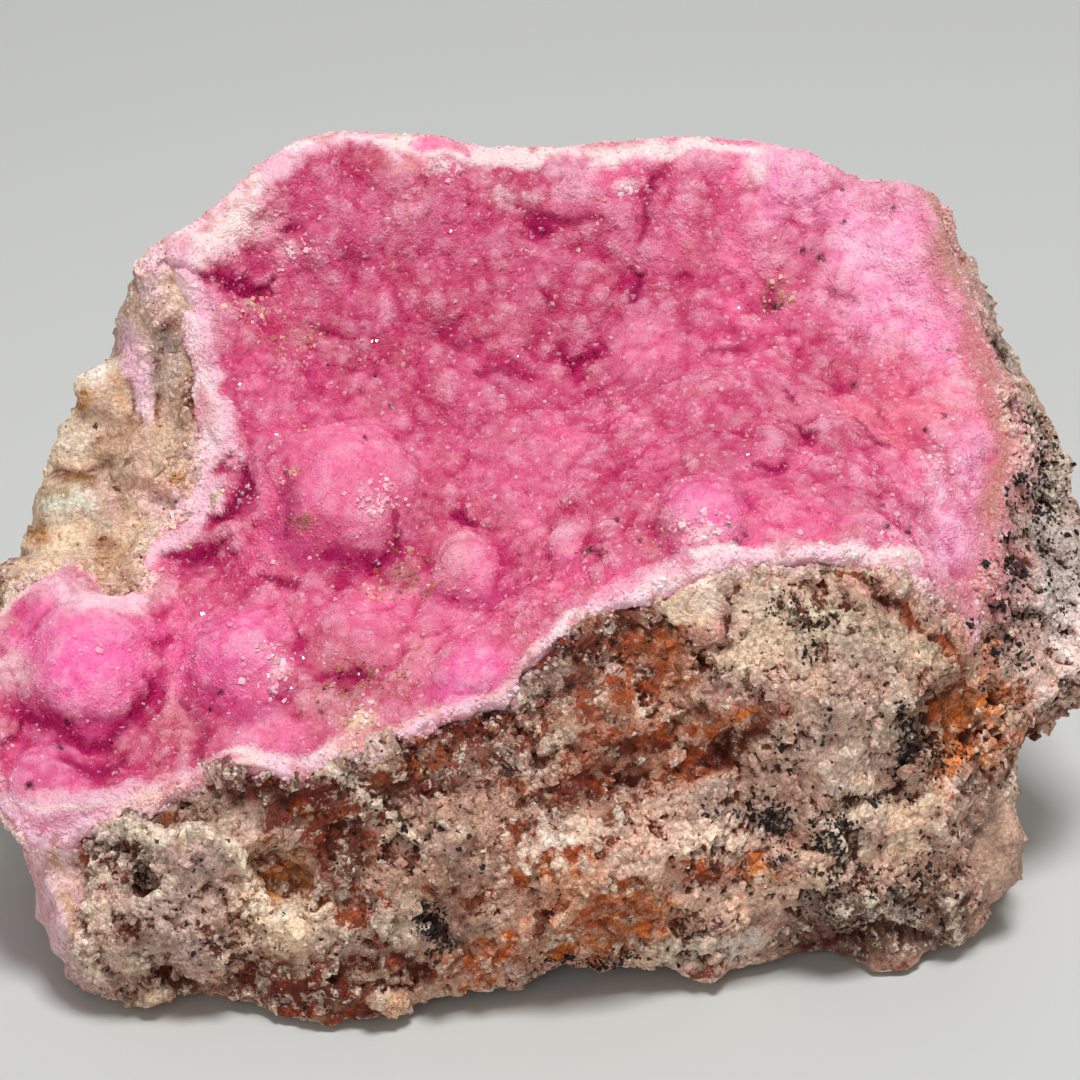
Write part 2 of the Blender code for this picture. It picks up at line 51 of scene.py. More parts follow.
# How deep the crust's underside and its border are sunk into the rock, and how far the border is drawn in.
SINK, BORDER_SINK, BORDER_DRAW_IN = 0.7, 1.5, 0.45
UNDER_CRUST = 3.0

LARGE_KNOB, MIDDLE_KNOB, SMALL_KNOB = 6.5, 3.0, 1.9
BACK_CHIP, LARGE_CHIP, SMALL_CHIP, RIM_CHIP, GRAIN = 15.0, 7.5, 2.9, 1.5, 1.15
CORNER_LIFT = 1.1

# The viewpoint. Places on the specimen are given as they are seen from it:
# steps of STEP millimetres to the right and down from the view's top left corner.
STEP = 0.085
TILT = math.radians(25.0)
DISTANCE = 320.0
AIM = np.array((0.0, 0.0, 30.35))
HALF_VIEW = 540.0

PALETTE = {
    "rose": (232, 98, 146),
    "deep_rose": (207, 88, 129),
    "hot_pink": (255, 118, 184),
    "soft_pink": (252, 131, 177),
    "magenta": (178, 14, 98),
    "crimson": (188, 44, 92),
    "wine": (120, 8, 50),
    "lilac_pink": (255, 166, 210),
    "lilac": (222, 158, 208),
    "salmon": (240, 130, 138),
    "brick": (206, 76, 92),
    "pale_pink": (250, 205, 220),
    "milk": (253, 236, 232),
    "peach": (244, 200, 176),
    "dusty_pink": (212, 130, 136),
    "taupe": (190, 156, 134),
    "pink_taupe": (208, 166, 146),
    "grey_taupe": (168, 146, 134),
    "bone": (248, 228, 206),
    "cream": (238, 212, 180),
    "tan": (196, 152, 116),
    "olive_brown": (140, 104, 62),
    "ochre": (196, 132, 70),
    "orange": (216, 118, 46),
    "rust": (154, 66, 23),
    "maroon": (98, 26, 10),
    "chestnut": (112, 60, 44),
    "umber": (74, 48, 38),
    "soot_and_shade": (26, 20, 20),
    "garnet": (64, 12, 28),
    "green_white": (214, 214, 190),
    "purple_grey": (170, 136, 148),
    "lilac_grey": (232, 192, 202),
    "ash": (212, 182, 168),
    "stone": (188, 178, 170),
    # painted shade, laid where the rock lies in shadow
    "shade_brown": (108, 80, 66),
}


def linear(name):
    value = np.array(PALETTE[name]) / 255.0
    return np.where(value > 0.04045, ((value + 0.055) / 1.055) ** 2.4, value / 12.92)


# ---------------------------------------------------------------- noise

TURN = np.array(Matrix.Rotation(0.7, 3, Vector((0.4, 0.8, 0.5))))


def dice(cell, seed):
    """A fixed random number from 0 to 1 for each whole-number cell."""
    c = cell.astype(np.int64).astype(np.uint32)
    h = c[:, 0] * np.uint32(73856093)
    h ^= c[:, 1] * np.uint32(19349663)
    h ^= c[:, 2] * np.uint32(83492791)
    h ^= np.uint32((seed * 2654435761 + 97) & 0xFFFFFFFF)
    h ^= h >> np.uint32(16)
    h *= np.uint32(0x7FEB352D)
    h ^= h >> np.uint32(15)
    h *= np.uint32(0x846CA68B)
    h ^= h >> np.uint32(16)
    return h / 4294967295.0


def waves(points, size, seed):
    """Smooth noise from -1 to 1 whose swells are about size millimetres across."""
    spot_in = points @ TURN / size + 0.37 * seed
    cell = np.floor(spot_in)
    part = spot_in - cell
    part = part * part * (3 - 2 * part)
    total = np.zeros(len(points))
    for corner in itertools.product((0, 1), repeat=3):
        corner = np.array(corner)
        share = np.prod(np.where(corner, part, 1 - part), axis=1)
        total += share * dice(cell + corner, seed)
    return total * 2 - 1


def cloud(points, size, seed, octaves=4, fade=0.5):
    """Noise with smaller and smaller swells in it."""
    total = np.zeros(len(points))
    strength, weight = 1.0, 0.0
    for octave in range(octaves):
        total += strength * waves(points, size / 2**octave, seed + 11 * octave)
        weight += strength
        strength *= fade
    return total / weight * 1.5


def grains(points, size, seed):
    """Scattered seeds: how far the nearest and the next are, the step from the nearest, its own number
    and its tilt."""
    spot_in = points @ TURN / size
    home = np.floor(spot_in)
    near = np.full(len(points), 9.0)
    following = np.full(len(points), 9.0)
    step = np.zeros((len(points), 3))
    number = np.zeros(len(points))
    tilt = np.zeros((len(points), 3))
    for move in itertools.product((-1, 0, 1), repeat=3):
        cell = home + np.array(move)
        seat = cell + np.stack([dice(cell, seed + k) for k in range(3)], axis=1)
        away = spot_in - seat
        far = np.sqrt((away * away).sum(axis=1))
        closer = far < near
        following = np.where(closer, near, np.minimum(following, far))
        near = np.where(closer, far, near)
        step[closer] = away[closer]
        mine = cell[closer]
        number[closer] = dice(mine, seed + 5)
        tilt[closer] = np.stack([dice(mine, seed + 6 + k) for k in range(3)], axis=1) * 2 - 1
    return near, following, step, number, tilt


def chips(points, size, seed):
    """Broken facets: each grain is a flat face of its own slope. From about -1 to 1."""
    step, number, tilt = grains(points, size, seed)[2:]
    return (step * tilt).sum(axis=1) + 0.5 * (number - 0.5)


def knobs(points, size, seed):
    """Round knobs packed side by side: their height, from 0 in the seams to 1 on top, and the seams."""
    near, following, _, number = grains(points, size, seed)[:4]
    height = np.clip(1 - (near / 0.85) ** 2, 0, 1) * (0.55 + 0.45 * number)
    return height, 1 - ease(following - near, 0.0, 0.26)


def ease(value, low, high):
    t = np.clip((value - low) / (high - low), 0, 1)
    return t * t * (3 - 2 * t)


def blend(first, second, share):
    return first * (1 - share) + second * share


# ---------------------------------------------------------------- working surfaces


class Surface:
    """A dense skin over a solid: its points in millimetres, and their places as seen from the viewpoint."""

    def __init__(self, mesh):
        self.mesh = mesh
        self.count = len(mesh.vertices)
        points = np.empty(self.count * 3)
        mesh.vertices.foreach_get("co", points)
        self.points = points.reshape(-1, 3) / MM + CENTRE
        edges = np.empty(len(mesh.edges) * 2, np.int32)
        mesh.edges.foreach_get("vertices", edges)
        self.edges = edges.reshape(-1, 2)
        self.degree = np.bincount(self.edges.ravel(), minlength=self.count)
        self.refresh()
        self.paint = np.zeros((self.count, 3))
        self.wander = np.stack([cloud(self.points, 3.0, SEED + 3 + k, 4, 0.6) for k in range(2)], axis=1)
        self.fray = cloud(self.points, 1.0, SEED + 9, 3, 0.8)

    def refresh(self):
        self.mesh.vertices.foreach_set("co", ((self.points - CENTRE) * MM).ravel())
        self.mesh.update()
        normals = np.empty(self.count * 3)
        self.mesh.vertex_normals.foreach_get("vector", normals)
        self.normals = normals.reshape(-1, 3)
        forward = np.array((0.0, math.cos(TILT), -math.sin(TILT)))
        upward = np.array((0.0, math.sin(TILT), math.cos(TILT)))
        ray = self.points - (AIM - forward * DISTANCE)
        depth = ray @ forward
        scale = DISTANCE / STEP / depth
        self.seen = np.stack([HALF_VIEW + ray[:, 0] * scale, HALF_VIEW - ray @ upward * scale], axis=1)
        ray /= np.linalg.norm(ray, axis=1)[:, None]
        self.front = ease(-(self.normals * ray).sum(axis=1), -0.25, 0.15)

    def around(self, values):
        """The mean of each point's neighbours."""
        a, b = self.edges[:, 0], self.edges[:, 1]
        if values.ndim == 1:
            total = np.bincount(a, values[b], self.count) + np.bincount(b, values[a], self.count)
            return total / self.degree
        return np.stack([self.around(values[:, k]) for k in range(values.shape[1])], axis=1)

    def soften(self, rounds, share=0.5, where=1.0):
        for _ in range(rounds):
            move = (self.around(self.points) - self.points) * share
            self.points += move * (where if np.isscalar(where) else where[:, None])
        self.refresh()

    def hollows(self, rounds):
        """How deep each point lies under its surroundings, in millimetres."""
        smooth = self.points
        for _ in range(rounds):
            smooth = smooth + (self.around(smooth) - smooth) * 0.7
        return ((smooth - self.points) * self.normals).sum(axis=1)

    def raise_by(self, height):
        self.points += self.normals * height[:, None]
        self.refresh()

    def oval(self, across, down, wide, high=None, turn=0.0, soft=0.4, ragged=0.3):
        high = high or wide
        size = min(wide, high) * ragged + 3 * ragged
        du = self.seen[:, 0] - across + self.wander[:, 0] * size
        dv = self.seen[:, 1] - down + self.wander[:, 1] * size
        c, s = math.cos(math.radians(turn)), math.sin(math.radians(turn))
        r = np.hypot((du * c + dv * s) / wide, (dv * c - du * s) / high)
        return (1 - ease(r, 1 - soft, 1 + soft)) * self.front

    def line(self, route, half_width, soft=0.6, ragged=1.2):
        """A band along a route, ragged and thinning out towards both ends."""
        route = np.array(route, float)
        at = self.seen + self.wander * (half_width * ragged + 2)
        best = np.full(self.count, 1e9)
        pieces = len(route) - 1
        for number, (a, b) in enumerate(zip(route[:-1], route[1:])):
            d = b - a
            t = np.clip(((at - a) @ d) / (d @ d), 0, 1)
            far = np.linalg.norm(at - a - t[:, None] * d, axis=1)
            along = (number + t) / pieces
            best = np.minimum(best, far / (0.45 + 0.55 * np.sin(math.pi * np.clip(along, 0.02, 0.98))))
        best = best / half_width + 0.35 * self.fray
        return (1 - ease(best, 1 - soft, 1 + soft)) * self.front

    def mottle(self, size, seed, low, high, octaves=4, fade=0.5):
        """Cloudy patches about size millimetres across: 0 where the noise is low, 1 where it is high."""
        return ease(cloud(self.points, size, seed, octaves, fade), low, high)

    def colour(self, name, mask):
        self.paint = blend(self.paint, linear(name), np.clip(mask, 0, 1)[:, None])

    def stain_and_shade(self, name, mask):
        """Gives the second colour, and a share of the grains to it, for real stains and for painted shade
        alike.
        """
        mask = np.clip(mask, 0, 1)
        keep = self.share * (1 - mask)
        weight = (mask / (mask + keep + 1e-6))[:, None]
        self.second = blend(self.second, linear(name), weight)
        self.share = np.maximum(self.share, mask)

    def store(self, name, values):
        layer = self.mesh.color_attributes.new(name=name, type="FLOAT_COLOR", domain="POINT")
        full = np.ones((self.count, 4))
        full[:, : values.shape[1]] = values
        layer.data.foreach_set("color", full.ravel())


def merged(node, prepare=None):
    bm = bmesh.new()
    bm.from_mesh(node.data)
    bmesh.ops.remove_doubles(bm, verts=bm.verts, dist=0.01 * MM)
    for layers in (bm.loops.layers.uv, bm.loops.layers.color, bm.verts.layers.color):
        for layer in list(layers.values()):
            layers.remove(layer)
    bm.normal_update()
    if prepare:
        prepare(bm)
    return bm


def refine(bm, longest, rounds):
    """Splits every edge longer than longest(place, normal) says, round by round, easing the corners."""
    for _ in range(rounds):
        places = np.array([v.co for v in bm.verts]) / MM + CENTRE
        normals = np.array([v.normal for v in bm.verts])
        allowed = longest(places, normals) * MM
        for number, v in enumerate(bm.verts):
            v.index = number
        long_edges = [
            e
            for e in bm.edges
            if e.calc_length() > 0.5 * (allowed[e.verts[0].index] + allowed[e.verts[1].index])
        ]
        if not long_edges:
            break
        bmesh.ops.subdivide_edges(bm, edges=long_edges, cuts=1)
        bmesh.ops.triangulate(bm, faces=[f for f in bm.faces if len(f.verts) > 3], ngon_method="BEAUTY")
        bmesh.ops.smooth_vert(
            bm, verts=bm.verts, factor=0.35, use_axis_x=True, use_axis_y=True, use_axis_z=True
        )
        bm.normal_update()


def skin(name, bm):
    mesh = bpy.data.meshes.new(name)
    bm.to_mesh(mesh)
    bm.free()
    if "custom_normal" in mesh.attributes:
        mesh.attributes.remove(mesh.attributes["custom_normal"])
    mesh.shade_smooth()
    return Surface(mesh)


def place_piece(name, mesh, material, replaces=None):
    piece = bpy.data.objects.new(name, mesh)
    bpy.context.scene.collection.objects.link(piece)
    mesh.materials.clear()
    mesh.materials.append(material)
    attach(piece, "root")
    if replaces:
        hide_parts(replaces)


# ---------------------------------------------------------------- crust


def crust_rim(bm):
    """The crust's upper border points, its underside, and the underside's own border."""
    under = {f for f in bm.faces if f.normal.z < -0.05}
    side = {f for e in bm.edges for f in e.link_faces if any(g in under for g in e.link_faces)} - under
    low = {v for f in under for v in f.verts}
    ring = {v for f in side for v in f.verts if v in low}
    top = {v for f in side for v in f.verts} - low
    return top, low, ring


rim_points = []


def search_tree(points):
    tree = kdtree.KDTree(len(points))
    for number, place in enumerate(points):
        tree.insert(place, number)
    tree.balance()
    return tree


def sink_underside(bm):
    """Notes the border, then draws the underside down into the rock so that no gap shows along it."""
    top, low, ring = crust_rim(bm)
    for e in bm.edges:
        if e.verts[0] in top and e.verts[1] in top:
            rim_points.extend(e.verts[0].co.lerp(e.verts[1].co, share) for share in (0.0, 0.25, 0.5, 0.75))
    for v in low:
        v.co.z -= SINK * MM
        if v in ring:
            v.co -= Vector((v.normal.x, v.normal.y, 0.0)) * BORDER_DRAW_IN * MM
            v.co.z -= BORDER_SINK * MM
    bm.normal_update()


def crust_detail(places, normals):
    return np.where(normals[:, 2] < -0.3, UNDERSIDE_EDGE, CRUST_EDGE)


crust_bm = merged(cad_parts["calcite_crust"], sink_underside)
refine(crust_bm, crust_detail, 4)
crust = skin("calcite_crust_skin", crust_bm)
rim_tree = search_tree([np.array(place) / MM + CENTRE for place in rim_points])


def rock_detail(places, normals):
    front = (normals[:, 1] < -0.25) & (places[:, 2] > 0.5)
    size = np.where(front, FRONT_EDGE, SIDE_EDGE)
    size = np.where(normals[:, 1] > 0.5, BACK_EDGE, size)
    size = np.where(normals[:, 2] < -0.75, FOOT_EDGE, size)
    return np.where((normals[:, 2] > 0.35) & hidden(places), HIDDEN_EDGE, size)


def hidden(places):
    """Whether each place on the rock lies well under the crust."""
    crust_tree = search_tree(crust.points)
    inside = [rim_tree.find(place)[2] > UNDER_CRUST for place in places]
    under = [crust_tree.find(place)[2] < UNDER_CRUST for place in places]
    return np.array(inside) & np.array(under)


rock_bm = merged(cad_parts["host_rock"])
refine(rock_bm, rock_detail, 5)
rock = skin("host_rock_skin", rock_bm)


# ---------------------------------------------------------------- relief and colour of the crust


def rim_distance(points):
    return np.array([rim_tree.find(p)[2] for p in points])


CRUST_CREASES = (
    # route, half width, depth in mm, strength of the painted shade in the crease (crimson, magenta and wine)
    (((404, 516), (399, 545), (376, 562), (346, 567), (318, 560)), 8, 0.4, 0.9),
    (((283, 462), (290, 500), (284, 540)), 6, 0.3, 0.4),
    (((478, 380), (500, 372), (530, 380)), 8, 0.4, 0.5),
    (((330, 250), (350, 262), (372, 258)), 8, 0.4, 0.5),
    (((430, 330), (460, 345), (490, 335)), 8, 0.4, 0.5),
    (((700, 350), (725, 340), (745, 350)), 7, 0.4, 0.5),
    (((855, 420), (870, 440), (890, 445)), 6, 0.4, 0.5),
    (((520, 210), (560, 222), (600, 215)), 9, 0.4, 0.6),
    (((180, 276), (215, 280), (245, 290), (268, 288)), 8, 1.5, 1.0),
    (((238, 462), (250, 484), (238, 500), (222, 512)), 12, 1.5, 1.0),
    (((165, 556), (195, 562), (222, 556)), 12, 1.1, 0.9),
    (((275, 572), (295, 585)), 9, 0.7, 0.8),
    (((455, 518), (482, 517)), 7, 0.9, 0.9),
    (((0, 738), (30, 718), (60, 732), (100, 742), (138, 724), (146, 690)), 11, 0.9, 0.9),
    (((655, 168), (650, 210), (640, 242)), 9, 0.5, 0.6),
    (((638, 276), (626, 304)), 11, 1.0, 0.9),
    (((556, 350), (572, 368), (592, 350)), 10, 0.9, 0.9),
    (((535, 228), (552, 236)), 11, 0.8, 0.9),
    (((540, 300), (550, 312)), 8, 0.5, 0.8),
    (((780, 385), (795, 402)), 3, 0.5, 0.8),
    (((798, 424), (808, 432)), 8, 0.8, 0.9),
    (((752, 462), (772, 470), (786, 464)), 4, 0.6, 0.9),
    (((765, 300), (785, 308)), 9, 0.7, 0.6),
    (((828, 288), (858, 302)), 6, 0.2, 0.3),
    (((310, 318), (345, 338)), 10, 0.4, 0.7),
    (((280, 226), (292, 232)), 8, 0.6, 0.9),
    (((60, 762), (95, 772), (125, 760)), 7, 0.5, 0.7),
    (((330, 676), (368, 680)), 10, 0.8, 0.8),
    (((585, 552), (602, 548)), 5, 0.5, 0.8),
    (((182, 702), (205, 735), (200, 768)), 9, 0.3, 0.5),
    (((268, 690), (290, 700)), 6, 0.3, 0.6),
    (((690, 272), (676, 276)), 5, 0.4, 0.7),
)

CRUST_LUMPS = (
    # across, down, size, height in mm: the round knobs that stand out
    (345, 488, 76, 1.7), (465, 566, 40, 1.2), (565, 545, 20, 0.6), (700, 515, 46, 1.1), (240, 658, 56, 1.3),
    (85, 662, 74, 1.6), (50, 778, 50, 0.7), (472, 676, 44, 0.7), (260, 730, 44, 0.4), (350, 640, 44, 0.4),
    (770, 454, 20, 0.7), (640, 345, 40, 0.4), (440, 300, 40, 0.4), (345, 245, 40, 0.35), (470, 410, 54, 0.4),
    (640, 420, 56, 0.4), (730, 400, 46, 0.5), (800, 500, 54, 0.4), (840, 350, 44, 0.4), (270, 385, 44, 0.45),
    (600, 500, 50, 0.3), (180, 612, 50, 0.4), (300, 600, 44, 0.4), (795, 178, 40, 0.4), (885, 240, 40, 0.3),
    (905, 190, 30, 0.8),
)

BIG_LUMPS = CRUST_LUMPS[:12]

CRUST_PATCHES = (
    # colour, across, down, wide, high, turn, strength
    # Painted shade: a darker rose over the back wall.
    ("deep_rose", 430, 250, 230, 100, 0, 0.85),
    ("deep_rose", 560, 430, 260, 90, 5, 0.5),
    # Painted shade: darker crimson and rose along the trough, then magenta in its creases.
    ("crimson", 500, 300, 160, 60, 5, 0.3),
    ("deep_rose", 600, 300, 110, 90, 0, 0.6),
    ("deep_rose", 350, 330, 110, 60, 10, 0.6),
    ("deep_rose", 520, 370, 110, 40, 0, 0.45),
    ("magenta", 390, 250, 40, 18, 0, 0.25),
    ("magenta", 320, 265, 20, 14, 0, 0.4),
    ("magenta", 375, 320, 24, 18, 0, 0.35),
    ("magenta", 500, 380, 24, 16, 0, 0.35),
    ("magenta", 700, 320, 30, 14, 0, 0.25),
    ("soft_pink", 345, 478, 66, 52, 0, 0.6),
    ("soft_pink", 465, 562, 36, 34, 0, 0.7),
    ("hot_pink", 700, 512, 42, 34, 0, 0.75),
    ("hot_pink", 80, 650, 90, 62, 0, 0.85),
    ("hot_pink", 240, 655, 56, 46, 0, 0.85),
    ("hot_pink", 465, 675, 44, 24, -20, 0.8),
    ("hot_pink", 50, 770, 60, 30, 0, 0.4),
    ("soft_pink", 255, 730, 45, 26, 0, 0.8),
    ("dusty_pink", 165, 735, 40, 34, 0, 0.6),
    ("dusty_pink", 330, 650, 40, 30, 0, 0.5),
    ("dusty_pink", 410, 660, 40, 40, 0, 0.35),
    ("dusty_pink", 655, 530, 26, 32, 0, 0.55),
    ("dusty_pink", 430, 520, 40, 26, 0, 0.35),
    ("soft_pink", 640, 345, 40, 22, 0, 0.4),
    ("soft_pink", 720, 405, 46, 26, 0, 0.5),
    ("soft_pink", 600, 430, 60, 26, 0, 0.4),
    ("salmon", 905, 395, 70, 55, 20, 0.6),
    ("brick", 845, 290, 26, 12, 15, 0.75),
    ("brick", 880, 370, 40, 18, 0, 0.35),
    ("lilac_pink", 800, 172, 48, 34, 10, 0.9),
    ("lilac_pink", 895, 260, 62, 100, -12, 0.8),
    ("pale_pink", 880, 230, 44, 50, -10, 0.35),
    ("pale_pink", 845, 180, 40, 20, 10, 0.4),
    ("lilac_pink", 940, 190, 40, 24, 0, 0.8),
    ("pale_pink", 915, 285, 26, 30, 0, 0.6),
    ("pale_pink", 880, 340, 26, 18, 0, 0.5),
    ("lilac_pink", 965, 330, 34, 60, -20, 0.6),
    ("salmon", 985, 400, 30, 50, -20, 0.45),
    ("pale_pink", 942, 470, 16, 40, 0, 0.75),
    ("lilac_pink", 955, 545, 48, 54, 15, 0.9),
    ("lilac_pink", 978, 480, 22, 56, -5, 0.8),
    ("lilac", 948, 545, 22, 30, 15, 0.6),
    ("lilac", 978, 470, 10, 30, 0, 0.5),
    ("dusty_pink", 1003, 470, 12, 60, 0, 0.6),
    ("dusty_pink", 985, 590, 20, 26, 0, 0.6),
    ("pale_pink", 565, 530, 20, 12, 0, 0.6),
    ("dusty_pink", 330, 690, 70, 44, 0, 0.55),
    ("dusty_pink", 185, 742, 44, 40, 0, 0.55),
    ("dusty_pink", 440, 560, 30, 40, 0, 0.4),
    ("dusty_pink", 530, 620, 40, 20, -20, 0.35),
    ("tan", 345, 704, 40, 22, 0, 0.35),
    ("dusty_pink", 965, 470, 16, 40, -5, 0.5),
    ("pale_pink", 565, 168, 30, 14, 0, 0.75),
    ("pale_pink", 700, 162, 24, 12, 0, 0.7),
    ("lilac_pink", 795, 212, 44, 38, 0, 0.6),
    ("pale_pink", 440, 330, 26, 18, 0, 0.4),
    ("milk", 437, 165, 12, 8, 0, 0.95),
    ("milk", 512, 195, 26, 18, 20, 0.75),
    ("pale_pink", 480, 170, 26, 12, 20, 0.5),
    ("milk", 630, 184, 16, 7, 0, 0.7),
    ("pale_pink", 570, 192, 30, 10, 0, 0.6),
    ("pale_pink", 690, 190, 12, 9, 0, 0.6),
    ("milk", 755, 172, 14, 16, 0, 0.8),
    ("milk", 232, 228, 52, 24, -35, 0.95),
    ("milk", 190, 248, 32, 20, -10, 0.95),
    ("pale_pink", 175, 290, 22, 34, 0, 0.95),
    ("pale_pink", 200, 360, 22, 60, 5, 0.95),
    ("milk", 212, 470, 14, 60, 0, 0.85),
    ("milk", 185, 535, 34, 14, -30, 0.85),
    ("milk", 110, 590, 60, 22, 0, 0.9),
    ("pale_pink", 60, 580, 40, 16, -25, 0.8),
    ("peach", 258, 186, 24, 10, -35, 0.8),
    ("peach", 395, 160, 34, 14, 0, 0.5),
    ("tan", 105, 562, 24, 20, 0, 0.95),
    ("milk", 15, 672, 18, 26, 0, 0.8),
    ("tan", 300, 335, 20, 9, 30, 0.5),
    ("tan", 252, 304, 12, 5, 20, 0.7),
    ("olive_brown", 350, 682, 26, 12, 0, 0.75),
    ("cream", 362, 726, 20, 13, 0, 0.95),
    ("olive_brown", 395, 575, 22, 20, 30, 0.5),
    ("olive_brown", 300, 525, 12, 8, 0, 0.5),
    ("olive_brown", 775, 295, 14, 16, 0, 0.5),
    ("milk", 705, 535, 16, 9, 0, 0.7),
    ("milk", 278, 668, 9, 11, 0, 0.6),
    ("milk", 285, 250, 12, 10, 0, 0.35),
    # Painted shade: the magenta, wine, crimson and deep rose rows from here to the end of the table sit in
    # pits, creases and the trough.
    ("magenta", 245, 288, 26, 12, 10, 0.7),
    ("wine", 250, 292, 14, 6, 10, 0.5),
    ("magenta", 245, 482, 14, 20, 0, 0.7),
    ("wine", 246, 486, 8, 10, 0, 0.5),
    ("magenta", 205, 558, 38, 14, 0, 0.6),
    ("magenta", 350, 566, 36, 12, 0, 0.4),
    ("magenta", 575, 358, 26, 14, 0, 0.5),
    ("magenta", 628, 292, 16, 16, 0, 0.5),
    ("magenta", 762, 306, 22, 12, 0, 0.45),
    ("crimson", 650, 200, 18, 36, 0, 0.45),
    ("crimson", 800, 430, 20, 16, 0, 0.5),
    ("magenta", 375, 318, 26, 20, 0, 0.4),
    ("crimson", 500, 330, 80, 36, 0, 0.45),
    ("deep_rose", 640, 240, 80, 60, 0, 0.5),
    ("crimson", 850, 455, 60, 40, 0, 0.2),
    ("crimson", 320, 340, 40, 20, 20, 0.4),
)

LILAC_SWEEP = (
    # across, down, wide, high, turn: where the crust pales to lilac pink
    (800, 172, 60, 42, 10), (895, 250, 66, 90, -12), (935, 195, 44, 26, 0), (955, 330, 40, 70, -20),
    (950, 540, 50, 56, 15), (975, 470, 30, 50, -5),
)

CRUST_BANDS = (
    # colour, route, half width, strength
    ("pale_pink", ((240, 190), (275, 162), (305, 146), (350, 140), (400, 152)), 15, 0.85),
    (
        "milk",
        ((290, 146), (340, 136), (420, 142), (470, 150), (540, 152), (620, 150), (690, 146), (765, 156)),
        10,
        0.85,
    ),
    ("soft_pink", ((350, 134), (372, 131), (394, 136)), 7, 0.8),
    ("soft_pink", ((425, 142), (445, 138), (462, 146)), 9, 0.9),
    ("milk", ((250, 175), (225, 215), (160, 250)), 22, 0.8),
    ("pale_pink", ((170, 262), (180, 300), (202, 340), (208, 400), (216, 440), (214, 500)), 19, 0.85),
    ("pale_pink", ((214, 500), (190, 532), (150, 548), (140, 585), (100, 605), (60, 590)), 11, 0.8),
    ("pale_pink", ((0, 790), (40, 810), (110, 795), (190, 788), (222, 752)), 9, 0.5),
    ("milk", ((222, 750), (250, 750), (300, 768), (330, 752)), 7, 0.8),
    ("peach", ((330, 750), (380, 742), (430, 722), (470, 712), (510, 682), (545, 640)), 7, 0.7),
    ("pale_pink", ((560, 628), (600, 600), (640, 580), (690, 560), (740, 552)), 9, 0.5),
    ("milk", ((700, 560), (760, 552), (850, 548), (915, 562)), 10, 0.95),
    ("milk", ((900, 552), (912, 560), (906, 580)), 6, 0.9),
    ("milk", ((560, 628), (600, 602), (650, 578)), 3, 0.3),
    ("pale_pink", ((-20, 800), (40, 822), (120, 812), (170, 800)), 14, 0.5),
    ("milk", ((-10, 790), (40, 812), (110, 800), (190, 790), (225, 755)), 4, 0.45),
    (
        "dusty_pink",
        ((935, 196), (955, 240), (975, 300), (1000, 380), (1006, 460), (1000, 540), (978, 620)),
        13,
        0.9,
    ),
    ("taupe", ((930, 192), (950, 228), (972, 285), (990, 330)), 10, 0.9),
    ("tan", ((1004, 440), (1003, 520), (985, 600)), 8, 0.6),
    ("milk", ((180, 290), (196, 345), (208, 400), (214, 460)), 9, 0.5),
    ("pale_pink", ((40, 800), (110, 795), (160, 784), (200, 775)), 8, 0.4),
    ("soft_pink", ((570, 618), (610, 598), (650, 582), (690, 565)), 6, 0.35),
)

CRUST_DOTS = (
    (803, 250, 4), (812, 250, 3), (820, 256, 5), (590, 550, 4), (617, 522, 4), (640, 541, 3),
    (883, 505, 3), (888, 527, 4), (908, 532, 4), (910, 526, 3), (925, 430, 3), (945, 418, 3),
    (855, 385, 4), (222, 692, 4), (210, 710, 3), (30, 786, 6), (60, 748, 4), (844, 222, 3),
    (843, 190, 2), (327, 366, 3), (375, 377, 3), (390, 407, 4), (950, 350, 2), (730, 525, 3),
    (738, 541, 3), (745, 534, 3), (66, 722, 4), (110, 752, 3), (405, 677, 3), (300, 714, 3),
    (776, 306, 5), (365, 438, 3), (322, 712, 3), (893, 207, 3),
)


def lift_corner(s):
    """Draws the upper left corner of the rim up a little; the rock and the crust move together."""
    lift = ease(s.points[:, 2], 34, 46) * (1 - ease(np.abs(s.points[:, 0] + 27), 4, 13))
    s.points[:, 2] += CORNER_LIFT * lift
    s.refresh()


